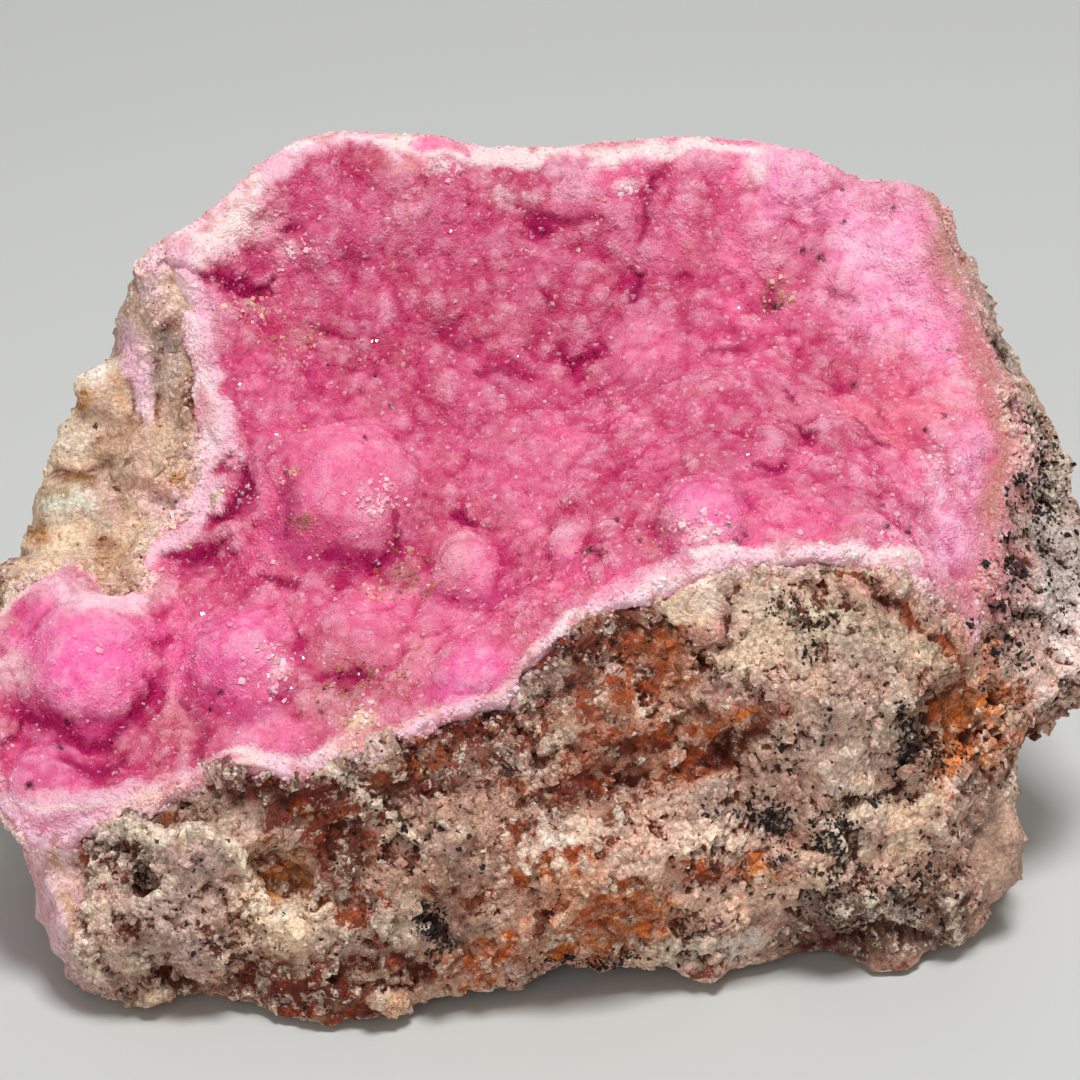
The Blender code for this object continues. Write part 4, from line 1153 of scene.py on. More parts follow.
    ("chestnut", 130, 470, 9, 16, 0, 0.4),
    # Painted shade: the shade_brown rows below darken places that lie in shadow.
    ("shade_brown", 905, 900, 30, 14, 0, 0.5),
    ("shade_brown", 135, 803, 52, 12, -5, 0.8),
    ("shade_brown", 245, 805, 48, 18, 10, 0.6),
    ("shade_brown", 985, 800, 18, 44, 0, 0.6),
    ("shade_brown", 990, 850, 26, 20, 0, 0.5),
    ("shade_brown", 455, 870, 26, 16, 0, 0.6),
    ("shade_brown", 450, 930, 26, 22, 0, 0.6),
    ("shade_brown", 548, 645, 30, 18, -35, 0.7),
    ("shade_brown", 470, 760, 40, 16, -15, 0.6),
    ("shade_brown", 300, 985, 60, 20, 5, 0.7),
    ("maroon", 300, 992, 60, 22, 5, 1.0),
    ("maroon", 560, 648, 44, 18, -35, 1.0),
    ("maroon", 600, 800, 44, 14, -10, 1.0),
    ("rust", 705, 748, 44, 16, -20, 0.9),
    ("bone", 120, 840, 26, 9, 5, 0.8),
    ("orange", 740, 720, 26, 10, -40, 0.5),
    ("peach", 745, 905, 44, 14, -5, 0.7),
    ("orange", 985, 705, 12, 22, 0, 0.7),
    ("chestnut", 225, 930, 30, 16, 0, 0.5),
    ("stone", 1050, 540, 34, 80, 0, 0.8),
    ("stone", 1040, 460, 20, 50, -20, 0.7),
    ("stone", 1005, 345, 16, 60, -25, 0.7),
    ("stone", 960, 250, 12, 40, -30, 0.5),
    ("stone", 1010, 640, 30, 40, 0, 0.4),
    # the left face
    ("taupe", 185, 350, 22, 60, 0, 0.8),
    ("grey_taupe", 170, 350, 15, 34, 0, 0.9),
    ("chestnut", 170, 322, 12, 9, 0, 0.9),
    ("tan", 192, 400, 12, 34, 0, 0.9),
    ("chestnut", 192, 396, 9, 16, 0, 0.9),
    ("ash", 168, 372, 9, 20, 0, 0.8),
    ("tan", 128, 350, 12, 14, 0, 0.7),
    ("lilac_grey", 137, 372, 15, 34, -12, 1.0),
    ("lilac_pink", 136, 370, 10, 30, -12, 0.4),
    ("lilac_grey", 148, 405, 12, 16, -20, 1.0),
    ("tan", 120, 400, 7, 36, -15, 0.8),
    ("tan", 163, 400, 5, 40, 0, 0.8),
    ("ochre", 79, 400, 15, 12, -30, 0.8),
    ("orange", 76, 404, 7, 6, -30, 0.6),
    ("chestnut", 128, 422, 14, 9, 20, 0.6),
    ("tan", 105, 445, 44, 14, -20, 0.7),
    ("bone", 82, 436, 26, 8, -25, 0.7),
    ("chestnut", 110, 462, 34, 6, -20, 0.6),
    ("bone", 72, 452, 20, 8, -20, 0.7),
    ("chestnut", 78, 479, 20, 9, 10, 0.8),
    ("olive_brown", 76, 480, 14, 8, 0, 1.0),
    ("olive_brown", 55, 494, 9, 8, 0, 1.0),
    ("green_white", 66, 508, 22, 14, -20, 0.9),
    ("taupe", 108, 495, 18, 34, 0, 0.8),
    ("chestnut", 140, 452, 22, 8, -40, 0.5),
    ("pink_taupe", 150, 470, 16, 30, 0, 0.7),
    ("peach", 180, 478, 18, 20, 0, 0.9),
    ("ochre", 182, 480, 12, 8, 0, 0.5),
    ("cream", 62, 540, 20, 12, -20, 0.8),
    ("ochre", 36, 538, 9, 10, -40, 0.6),
    ("olive_brown", 40, 528, 10, 6, -40, 0.7),
    ("tan", 105, 562, 24, 24, 0, 0.9),
    ("chestnut", 100, 545, 16, 7, 0, 0.5),
)

STAIN_AND_SHADE_COLOURS = {"umber", "maroon", "chestnut", "rust", "orange", "ochre", "soot_and_shade", "olive_brown"}

ROCK_CALM = (
    # across, down, wide, high, turn, calmness of the paint: the smoother faces
    (90, 430, 110, 190, 20, 0.8),
    (44, 890, 34, 105, 5, 1),
    (1008, 855, 30, 46, 0, 1),
    (697, 597, 30, 22, -20, 1),
)

ROCK_BLACK = (
    # across, down, wide, high, how thickly the black grains lie
    (785, 606, 20, 14, 0.5), (815, 630, 16, 30, 0.3), (1050, 560, 30, 80, 0.18), (1014, 600, 20, 110, 0.25),
    (767, 820, 26, 14, 0.8), (838, 876, 12, 10, 0.7), (780, 848, 14, 26, 0.3), (860, 800, 50, 8, 0.35),
    (830, 832, 20, 16, 0.8), (903, 745, 14, 36, 0.7), (940, 760, 30, 16, 0.4), (850, 690, 50, 34, 0.1),
    (600, 965, 60, 12, 0.5), (930, 880, 50, 30, 0.2), (1040, 490, 24, 70, 0.4), (435, 925, 12, 22, 0.9),
    (790, 750, 16, 30, 0.25), (1000, 650, 24, 60, 0.25), (850, 895, 50, 30, 0.3), (710, 810, 16, 10, 0.4),
)

ROCK_DOTS = (
    # across, down, size of the single black grains
    (987, 564, 5), (1008, 537, 4), (1011, 560, 4), (972, 625, 4), (1004, 606, 4), (987, 596, 3),
    (1006, 570, 3), (1013, 569, 3), (1002, 490, 4), (1018, 478, 5), (990, 640, 3), (996, 655, 3),
    (1010, 640, 4), (140, 879, 7),
)


def left_end(s):
    """1 on the smooth lilac-grey face at the left end."""
    facing = -s.normals[:, 0]
    for _ in range(16):
        facing = s.around(facing)
    p = s.points
    mask = ease(facing, 0.25, 0.65) * ease(-p[:, 0] + 2.5 * s.wander[:, 0], 35, 42)
    mask *= ease(-p[:, 1] + 5.0 * s.wander[:, 1], 3, 16)
    return mask * (1 - ease(p[:, 2] + 3.0 * s.wander[:, 0], 24, 33))


def shape_rock(s):
    lift_corner(s)
    s.rim = rim_distance(s.points)
    s.open = 1 - hidden(s.points)
    s.left = left_end(s)
    rough = ease(s.points[:, 2], 0.4, 2.5)
    bent = s.points + 0.8 * np.column_stack((s.wander, s.fray))
    height = 1.15 * chips(bent, LARGE_CHIP, 51) + 0.35 * cloud(s.points, 5.0, 52)
    s.back = ease(s.normals[:, 1], 0.0, 0.5)
    for _ in range(8):
        s.back = s.around(s.back)
    height += 0.9 * s.back * chips(bent, BACK_CHIP, 57)
    height += 0.6 * (1 - ease(s.rim, 0.4, 2.6))
    for across, down, wide, high, up in ROCK_LUMPS:
        height += up * s.oval(across, down, wide, high, 0, 0.6, 0.25)
    s.raise_by(height * rough * (1 - 0.5 * s.left))
    s.soften(10, 0.5, s.left * rough)
    coarse = ease(s.normals[:, 1], -0.45, -0.1)
    s.soften(3, 0.5, coarse * rough)
    inland = 1 - ease(np.abs(s.points[:, 0]), 30, 42)
    height = (0.62 - (0.3 - 0.25 * inland) * coarse) * chips(bent, SMALL_CHIP, 53)
    height += 0.2 * cloud(s.points, 1.6, 54, 3)
    for route, half_width, depth, name, strength in ROCK_CREASES:
        height -= depth * s.line(route, half_width, ragged=2.0)
    s.calm, s.flat = s.left, s.left
    for across, down, wide, high, turn, calm in ROCK_CALM:
        face = s.oval(across, down, wide, high, turn, 0.4, 0.4)
        s.calm, s.flat = np.maximum(s.calm, calm * face), np.maximum(s.flat, face)
    s.cracks = 1 - ease(np.abs(cloud(bent, 8.0, 73, 5, 0.65)), 0.0, 0.05)
    s.cracks *= s.mottle(9.0, 74, -0.2, 0.2, 3)
    s.cracks *= 1 - 0.8 * s.calm
    s.raise_by((height * (1 - 0.5 * s.flat) * (1 - 0.6 * s.left) - 0.4 * s.cracks) * rough)
    s.soften(3, 0.5, s.flat * rough)
    step, number, tilt = grains(s.points, GRAIN, 55)[2:]
    fine = 0.19 * (number - 0.5) + 0.16 * (step * tilt).sum(axis=1)
    s.raise_by(fine * rough * (1 - 0.5 * coarse) * (1 - 0.6 * s.flat) * (1 - 0.6 * s.left))


def stain_and_shade_rock(s, name, mask):
    s.stain_and_shade(name, mask)
    s.colour(name, (0.74 + 0.2 * s.calm) * mask)


def paint_rock(s):
    """Sets three things: the main colour, a second colour, and marks, which hold the share of grains
    of the second colour, the crowding of black grains and the share of pale grains."""
    p = s.points
    s.second = np.tile(linear("chestnut"), (s.count, 1))
    s.share = 0.2 + 0.3 * s.mottle(8.0, 63, 0.0, 0.7, 5, 0.6)
    s.pale = 0.16 + 0.22 * s.mottle(6.0, 65, 0.0, 0.7)
    s.colour("pink_taupe", np.ones(s.count))
    s.colour("grey_taupe", 0.7 * s.mottle(11.0, 61, -0.1, 0.5))
    s.colour("tan", 0.6 * s.mottle(13.0, 62, 0.1, 0.6))
    s.colour("cream", 0.6 * s.mottle(4.6, 81, 0.15, 0.5, 4, 0.7))
    s.colour("chestnut", 0.5 * s.mottle(4.2, 82, 0.25, 0.6, 4, 0.7))
    s.stain_and_shade("rust", 0.6 * s.mottle(10.0, 64, 0.2, 0.6, 5, 0.6))
    s.stain_and_shade("umber", 0.6 * s.mottle(9.0, 67, 0.3, 0.7, 5, 0.6))
    s.stain_and_shade("rust", 0.55 * s.back * s.mottle(17.0, 87, 0.1, 0.45, 5, 0.6))
    s.colour("tan", 0.6 * s.back * s.mottle(17.0, 87, 0.0, 0.4, 4, 0.6))
    s.colour("stone", 0.6 * s.back * s.mottle(14.0, 88, 0.1, 0.4, 4, 0.6))
    edge = s.rim + 1.4 * cloud(p, 2.5, 71, 4, 0.7)
    fringe = (1 - ease(edge, 0.2, 1.6)) * s.open
    s.colour("pale_pink", 0.9 * fringe)
    s.colour("peach", 0.6 * fringe * s.mottle(5.0, 72, -0.1, 0.5, 3))
    s.share *= 1 - 0.85 * fringe
    left = s.left
    along = np.array((0.9, 0.0, 0.42))
    streaks = cloud(p - 0.7 * (p @ along)[:, None] * along, 2.0, 77, 4, 0.7)
    streaks = 0.35 + 0.9 * ease(streaks, -0.3, 0.25)
    for name, across, down, wide, high, turn, strength in ROCK_PATCHES:
        mask = strength * s.oval(across, down, wide, high, turn, 0.6, 0.9)
        if name in STAIN_AND_SHADE_COLOURS:
            stain_and_shade_rock(s, name, mask * streaks)
        else:
            s.colour(name, mask * (0.75 + 0.25 * np.sign(s.fray)))
            s.share *= 1 - 0.6 * mask
    for route, half_width, depth, name, strength in ROCK_CREASES:
        mask = strength * s.line(route, half_width, 0.8, 2.0)
        if name in STAIN_AND_SHADE_COLOURS:
            stain_and_shade_rock(s, name, mask * streaks)
        else:
            s.colour(name, mask)
    s.colour("lilac_grey", 0.72 * left)
    s.colour("dusty_pink", 0.5 * left * s.mottle(4.0, 85, 0.0, 0.5, 4, 0.7))
    s.colour("tan", 0.4 * left * s.mottle(3.0, 86, 0.15, 0.5, 4, 0.7))
    s.share *= 1 - 0.7 * left
    warm = (s.share * s.mottle(2.6, 69, 0.0, 0.6, 4, 0.7))[:, None] * 0.45
    s.second = blend(s.second, linear("rust"), warm)
    deep = ((0.25 + 0.5 * s.share) * s.mottle(1.3, 83, -0.05, 0.45, 4, 0.8))[:, None]
    glow = (0.36 * s.share * s.mottle(1.8, 84, 0.15, 0.55, 4, 0.8))[:, None]
    s.second = blend(s.second, linear("orange"), glow)
    s.second = blend(s.second, 0.45 * s.second, deep)
    s.pale += 0.14 * s.share
    s.share *= 1 - 0.6 * s.calm
    s.pale *= 1 - 0.4 * s.calm
    s.stain_and_shade("umber", 0.85 * s.cracks)
    s.colour("umber", 0.6 * s.cracks)
    # Painted shade: chestnut, umber and maroon in the hollows. Painted highlight: fewer stained grains and
    # more pale grains on the small rises.
    small, large = s.hollows(6), s.hollows(30)
    rougher = (1 - 0.8 * s.calm) * (1 - 0.5 * s.back)
    s.colour("chestnut", 0.45 * rougher * ease(small, 0.06, 0.3))
    s.stain_and_shade("umber", 0.7 * rougher * ease(small, 0.08, 0.35))
    s.stain_and_shade("maroon", 0.6 * rougher * ease(large, 0.2, 0.9))
    s.share *= 1 - 0.5 * ease(-small, 0.05, 0.25)
    s.pale += 0.2 * ease(-small, 0.08, 0.3)
    right = ease(p[:, 0], 30, 38) * (1 - ease(edge, 1.0, 6.0)) * s.open
    s.colour("dusty_pink", 0.5 * right)
    s.share *= 1 - 0.5 * right
    shade = cloud(p, 1.5, 76, 3, 0.8)[:, None]
    s.second *= 1 + 0.45 * shade
    s.paint *= 1 + 0.16 * shade
    black = 0.008 + 0.05 * s.mottle(12.0, 68, 0.2, 0.8)
    for across, down, wide, high, thick in ROCK_BLACK:
        black = np.maximum(black, thick * s.oval(across, down, wide, high, 0, 0.7, 0.8))
    black = black * (1 - 0.8 * s.calm)
    s.marks = np.stack([np.minimum(s.share, 0.84), black * (1 - fringe), s.pale], axis=1)


shape_rock(rock)
paint_rock(rock)

# ---------------------------------------------------------------- materials


def node(tree, kind, **values):
    made = tree.nodes.new(kind)
    for name, value in values.items():
        if name in made.inputs:
            made.inputs[name].default_value = value
        else:
            setattr(made, name, value)
    return made


def join(tree, *pairs):
    for source, target in pairs:
        tree.links.new(source, target)


def math_node(tree, operation, *values):
    made = tree.nodes.new("ShaderNodeMath")
    made.operation = operation
    for slot, value in zip(made.inputs, values):
        if isinstance(value, (int, float)):
            slot.default_value = value
        else:
            tree.links.new(value, slot)
    return made.outputs[0]


def mix_colour(tree, share, first, second):
    made = tree.nodes.new("ShaderNodeMix")
    made.data_type = "RGBA"
    for slot, value in ((made.inputs[0], share), (made.inputs[6], first), (made.inputs[7], second)):
        if isinstance(value, (int, float)):
            slot.default_value = value
        elif isinstance(value, (tuple, list, np.ndarray)):
            slot.default_value = (*value, 1.0)
        else:
            tree.links.new(value, slot)
    return made.outputs[2]


def clamped(tree, value):
    clamp = node(tree, "ShaderNodeClamp")
    join(tree, (value, clamp.inputs[0]))
    return clamp.outputs[0]


def start_group(name, settings, results):
    """A new shared group with a Place, the named settings and the named results."""
    tree = bpy.data.node_groups.new(name, "ShaderNodeTree")
    tree.interface.new_socket("Place", in_out="INPUT", socket_type="NodeSocketVector")
    for label, value in settings:
        tree.interface.new_socket(label, in_out="INPUT", socket_type="NodeSocketFloat").default_value = value
    for label in results:
        tree.interface.new_socket(label, in_out="OUTPUT", socket_type="NodeSocketFloat")
    return tree, tree.nodes.new("NodeGroupInput").outputs, tree.nodes.new("NodeGroupOutput").inputs


def speckle_group():
    """Fine mineral speckle: a brightness round 1, and a height for a Bump."""
    settings = (("Grain scale", 900.0), ("Dust scale", 3200.0), ("Contrast", 0.5))
    tree, given, result = start_group("mineral speckle", settings, ("Brightness", "Height"))
    grain = node(tree, "ShaderNodeTexVoronoi", feature="F1")
    dust = node(tree, "ShaderNodeTexNoise", Detail=3.0, Roughness=0.7)
    join(tree, (given["Place"], grain.inputs["Vector"]), (given["Place"], dust.inputs["Vector"]))
    join(tree, (given["Grain scale"], grain.inputs["Scale"]), (given["Dust scale"], dust.inputs["Scale"]))
    number = node(tree, "ShaderNodeSeparateColor")
    join(tree, (grain.outputs["Color"], number.inputs[0]))
    blend = math_node(tree, "MULTIPLY", number.outputs[0], 0.45)
    blend = math_node(tree, "MULTIPLY_ADD", dust.outputs[0], 1.1, blend)
    centred = math_node(tree, "SUBTRACT", blend, 0.775)
    bright = math_node(tree, "MULTIPLY_ADD", centred, given["Contrast"], 1.0)
    join(tree, (bright, result["Brightness"]))
    high = math_node(tree, "MULTIPLY_ADD", grain.outputs["Distance"], -0.5, blend)
    join(tree, (high, result["Height"]))
    return tree


def dots_group():
    """Ragged dark grains of two sizes: 1 on a grain. More of them show where Crowding is higher."""
    settings = (
        ("Large scale", 1400.0),
        ("Large width", 0.26),
        ("Small scale", 2600.0),
        ("Small width", 0.32),
        ("Crowding", 0.2),
    )
    tree, given, result = start_group("black grains", settings, ("Mask",))
    bend = node(tree, "ShaderNodeTexNoise", Scale=2600.0, Detail=2.0)
    join(tree, (given["Place"], bend.inputs["Vector"]))
    push = node(tree, "ShaderNodeVectorMath", operation="MULTIPLY_ADD")
    push.inputs[1].default_value = (0.0008, 0.0008, 0.0008)
    join(tree, (bend.outputs["Color"], push.inputs[0]), (given["Place"], push.inputs[2]))
    masks = []
    for size in ("Large", "Small"):
        cell = node(tree, "ShaderNodeTexVoronoi", feature="F1")
        join(tree, (push.outputs[0], cell.inputs["Vector"]), (given[size + " scale"], cell.inputs["Scale"]))
        number = node(tree, "ShaderNodeSeparateColor")
        join(tree, (cell.outputs["Color"], number.inputs[0]))
        shown = math_node(tree, "LESS_THAN", number.outputs[0], given["Crowding"])
        width = math_node(tree, "MULTIPLY_ADD", number.outputs[1], 0.2, given[size + " width"])
        gap = math_node(tree, "SUBTRACT", width, cell.outputs["Distance"])
        sharp = math_node(tree, "MULTIPLY", gap, 12.0)
        masks.append(clamped(tree, math_node(tree, "MULTIPLY", sharp, shown)))
    join(tree, (math_node(tree, "MAXIMUM", *masks), result["Mask"]))
    return tree


SPECKLE = speckle_group()
DOTS = dots_group()


def group(tree, shared, **values):
    made = tree.nodes.new("ShaderNodeGroup")
    made.node_tree = shared
    for name, value in values.items():
        made.inputs[name.replace("_", " ")].default_value = value
    return made


def start_material(name, roughness, specular=0.5):
    material = bpy.data.materials.new(name)
    material.use_nodes = True
    tree = material.node_tree
    shader = tree.nodes["Principled BSDF"]
    shader.inputs["Roughness"].default_value = roughness
    shader.inputs["Specular IOR Level"].default_value = specular
    place = tree.nodes.new("ShaderNodeTexCoord").outputs["Object"]
    paint = node(tree, "ShaderNodeAttribute", attribute_name="paint")
    return material, tree, shader, place, paint.outputs["Color"]


def bump(tree, shader, height, strength, distance):
    made = node(tree, "ShaderNodeBump", Strength=strength, Distance=distance)
    join(tree, (height, made.inputs["Height"]), (made.outputs[0], shader.inputs["Normal"]))


def scale_colour(tree, colour, brightness):
    made = node(tree, "ShaderNodeVectorMath", operation="SCALE")
    join(tree, (colour, made.inputs[0]), (brightness, made.inputs["Scale"]))
    return made.outputs[0]


def grain_group():
    """Packed mineral grains of two sizes, with ragged borders: a number for each, and the seams, which the
    rock's finish darkens as painted shade.
    """
    settings = (("Large scale", 950.0), ("Small scale", 2300.0), ("Ragged", 0.0005))
    tree, given, result = start_group("packed grains", settings, ("Number", "Other number", "Seam", "Height"))
    bend = node(tree, "ShaderNodeTexNoise", Scale=1500.0, Detail=3.0, Roughness=0.7)
    join(tree, (given["Place"], bend.inputs["Vector"]))
    push = node(tree, "ShaderNodeVectorMath", operation="MULTIPLY_ADD")
    join(tree, (bend.outputs["Color"], push.inputs[0]), (given["Ragged"], push.inputs[1]))
    join(tree, (given["Place"], push.inputs[2]))
    numbers = []
    for scale in ("Large scale", "Small scale"):
        cell = node(tree, "ShaderNodeTexVoronoi", feature="F1")
        part = node(tree, "ShaderNodeSeparateColor")
        join(tree, (push.outputs[0], cell.inputs["Vector"]), (given[scale], cell.inputs["Scale"]))
        join(tree, (cell.outputs["Color"], part.inputs[0]))
        numbers.append((part.outputs, cell.outputs["Distance"]))
    dust = node(tree, "ShaderNodeTexNoise", Scale=4200.0, Detail=2.0, Roughness=0.7)
    join(tree, (given["Place"], dust.inputs["Vector"]))
    for socket, channel in (("Number", 0), ("Other number", 1)):
        total = math_node(tree, "MULTIPLY", numbers[0][0][channel], 0.42)
        total = math_node(tree, "MULTIPLY_ADD", numbers[1][0][channel], 0.36, total)
        total = math_node(tree, "MULTIPLY_ADD", dust.outputs[0], 0.7, total)
        join(tree, (math_node(tree, "SUBTRACT", total, 0.24), result[socket]))
    seam_shade = math_node(tree, "MULTIPLY_ADD", numbers[1][1], 2.0, -0.9)
    join(tree, (clamped(tree, seam_shade), result["Seam"]))
    high = math_node(tree, "MULTIPLY_ADD", numbers[0][0][2], 0.6, dust.outputs[0])
    high = math_node(tree, "MULTIPLY_ADD", numbers[1][0][2], 0.7, high)
    join(tree, (math_node(tree, "MULTIPLY_ADD", numbers[1][1], -0.6, high), result["Height"]))
    return tree


GRAINS = grain_group()


def chosen(tree, number, share, sharp=6.0):
    """1 where a grain's number is under the share, with a narrow soft edge."""
    gap = math_node(tree, "SUBTRACT", share, number)
    return clamped(tree, math_node(tree, "MULTIPLY_ADD", gap, sharp, 0.5))


def rock_material():
    material, tree, shader, place, paint = start_material("speckled host rock", 0.7, 0.35)
    second = node(tree, "ShaderNodeAttribute", attribute_name="second")
    marks = node(tree, "ShaderNodeAttribute", attribute_name="marks")
    part = node(tree, "ShaderNodeSeparateColor")
    join(tree, (marks.outputs["Color"], part.inputs[0]))
    packed = group(tree, GRAINS)
    dust = group(tree, SPECKLE, Grain_scale=3000.0, Dust_scale=5200.0, Contrast=0.9)
    join(tree, (place, packed.inputs["Place"]), (place, dust.inputs["Place"]))
    number, other = packed.outputs["Number"], packed.outputs["Other number"]
    pale = math_node(tree, "MULTIPLY", chosen(tree, other, part.outputs[2]), 0.8)
    base = mix_colour(tree, pale, paint, linear("bone"))
    share = part.outputs[0]
    core = chosen(tree, number, math_node(tree, "MULTIPLY", share, 0.5), 4.0)
    stained = scale_colour(tree, second.outputs["Color"], math_node(tree, "MULTIPLY_ADD", core, -0.5, 1.18))
    see_through = math_node(tree, "MULTIPLY_ADD", pale, -0.6, 1.0)
    cover = math_node(tree, "MULTIPLY", chosen(tree, number, share), see_through)
    base = mix_colour(tree, cover, base, stained)
    calm = node(tree, "ShaderNodeAttribute", attribute_name="calm").outputs["Fac"]
    spread = math_node(tree, "MULTIPLY_ADD", calm, -0.36, 0.66)
    bright = math_node(tree, "MULTIPLY_ADD", other, spread, math_node(tree, "MULTIPLY_ADD", calm, 0.16, 0.88))
    base = scale_colour(tree, base, bright)
    base = scale_colour(tree, base, dust.outputs["Brightness"])
    # Painted shade: the seams between the grains are darkened towards chestnut, less on the calm faces.
    seam_shade = math_node(tree, "MULTIPLY_ADD", calm, -0.3, 0.45)
    seam_shade = math_node(tree, "MULTIPLY", packed.outputs["Seam"], seam_shade)
    base = mix_colour(tree, seam_shade, base, linear("chestnut"))
    dots = group(tree, DOTS)
    join(tree, (place, dots.inputs["Place"]), (part.outputs[1], dots.inputs["Crowding"]))
    cluster = node(tree, "ShaderNodeTexNoise", Scale=1300.0, Detail=4.0, Roughness=0.75)
    join(tree, (place, cluster.inputs["Vector"]))
    thick = math_node(tree, "MULTIPLY_ADD", part.outputs[1], 0.2, cluster.outputs[0])
    thick = math_node(tree, "MULTIPLY", math_node(tree, "SUBTRACT", thick, 0.71), 14.0)
    mask = math_node(tree, "MAXIMUM", dots.outputs[0], clamped(tree, thick))
    base = mix_colour(tree, math_node(tree, "MULTIPLY", mask, 0.92), base, linear("soot_and_shade"))
    join(tree, (base, shader.inputs["Base Color"]))
    bump(tree, shader, packed.outputs["Height"], 0.8, 0.0003)
    return material


def speckled_material(name, roughness, specular, grain_scale, dust_scale, contrast, relief):
    material, tree, shader, place, paint = start_material(name, roughness, specular)
    fine = group(tree, SPECKLE, Grain_scale=grain_scale, Dust_scale=dust_scale, Contrast=contrast)
    join(tree, (place, fine.inputs["Place"]))
    join(tree, (scale_colour(tree, paint, fine.outputs["Brightness"]), shader.inputs["Base Color"]))
    bump(tree, shader, fine.outputs["Height"], 0.5, relief)
    return material


def crystal_material(name, roughness, specular, cloudiness):
    material, tree, shader, place, paint = start_material(name, roughness, specular)
    milk = node(tree, "ShaderNodeTexNoise", Scale=2600.0, Detail=1.0)
    join(tree, (place, milk.inputs["Vector"]))
    bright = math_node(tree, "MULTIPLY_ADD", milk.outputs[0], cloudiness, 1.0 - 0.5 * cloudiness)
    join(tree, (scale_colour(tree, paint, bright), shader.inputs["Base Color"]))
    return material


ROCK_FINISH = rock_material()
CRUMB_FINISH = speckled_material(
    "mineral crumbs",
    roughness=0.6,
    specular=0.35,
    grain_scale=2600.0,
    dust_scale=5200.0,
    contrast=0.6,
    relief=0.0001,
)
CRUST_FINISH = speckled_material(
    "pink calcite",
    roughness=0.45,
    specular=0.12,
    grain_scale=2300.0,
    dust_scale=4200.0,
    contrast=0.34,
    relief=0.0002,
)
CRYSTAL_FINISH = crystal_material("calcite crystals", roughness=0.36, specular=0.14, cloudiness=0.3)
BRIGHT_FINISH = crystal_material("bright calcite crystals", roughness=0.12, specular=0.7, cloudiness=0.3)

# ---------------------------------------------------------------- small crystals


def small_shape(name, build):
    bm = bmesh.new()
    build(bm)
    bmesh.ops.remove_doubles(bm, verts=bm.verts, dist=0.001)
    bmesh.ops.recalc_face_normals(bm, faces=bm.faces)
    mesh = bpy.data.meshes.new(name)
    bm.to_mesh(mesh)
    bm.free()
    return bpy.data.objects.new(name, mesh)


def calcite_point(bm):
    """A blunt three-sided crystal point on a mirrored root that stays buried."""
    for turn in (Matrix.Identity(4), Matrix.Diagonal((1, 1, -1, 1))):
        bmesh.ops.create_cone(
            bm,
            cap_ends=False,
            segments=3,
            radius1=0.8,
            radius2=0.0,
            depth=0.34,
            matrix=turn @ Matrix.Translation((0, 0, 0.17)),
        )


def calcite_rhomb(bm):
    """A blunt calcite rhombohedron standing on its point: a cube drawn along its diagonal."""
    bmesh.ops.create_cube(bm, size=1.0)
    stand = Vector((1, 1, 1)).rotation_difference(Vector((0, 0, 1))).to_matrix().to_4x4()
    bmesh.ops.transform(bm, matrix=Matrix.Diagonal((1.0, 1.0, 0.75, 1.0)) @ stand, verts=bm.verts)


def broken_grain(cuts):
    """A mineral grain: a block with its corners broken off along a few planes."""

    def build(bm):
        bmesh.ops.create_cube(bm, size=1.0)
        for aim, reach in cuts:
            aim = Vector(aim).normalized()
            everything = bm.verts[:] + bm.edges[:] + bm.faces[:]
            made = bmesh.ops.bisect_plane(
                bm, geom=everything, plane_co=aim * reach, plane_no=aim, clear_outer=True
            )
            edges = [e for e in made["geom_cut"] if isinstance(e, bmesh.types.BMEdge)]
            bmesh.ops.contextual_create(bm, geom=edges)

    return build


def sowing_tree():
    """Stands a copy of one small shape on every point, turned and sized as the point says."""
    tree = bpy.data.node_groups.new("sow on points", "GeometryNodeTree")
    tree.interface.new_socket("Points", in_out="INPUT", socket_type="NodeSocketGeometry")
    tree.interface.new_socket("Shape", in_out="INPUT", socket_type="NodeSocketObject")
    tree.interface.new_socket("Grown", in_out="OUTPUT", socket_type="NodeSocketGeometry")
    given = tree.nodes.new("NodeGroupInput").outputs
    result = tree.nodes.new("NodeGroupOutput").inputs
    shape = tree.nodes.new("GeometryNodeObjectInfo")
    stand = tree.nodes.new("GeometryNodeInstanceOnPoints")
    turn = node(tree, "GeometryNodeInputNamedAttribute", data_type="FLOAT_VECTOR")
    turn.inputs["Name"].default_value = "turn"
    size = node(tree, "GeometryNodeInputNamedAttribute", data_type="FLOAT_VECTOR")
    size.inputs["Name"].default_value = "size"
    real = tree.nodes.new("GeometryNodeRealizeInstances")
    join(
        tree,
        (given["Shape"], shape.inputs["Object"]),
        (given["Points"], stand.inputs["Points"]),
        (shape.outputs["Geometry"], stand.inputs["Instance"]),
        (turn.outputs[0], stand.inputs["Rotation"]),
        (size.outputs[0], stand.inputs["Scale"]),
        (stand.outputs[0], real.inputs[0]),
        (real.outputs[0], result["Grown"]),
    )
    return tree


SOWING = sowing_tree()


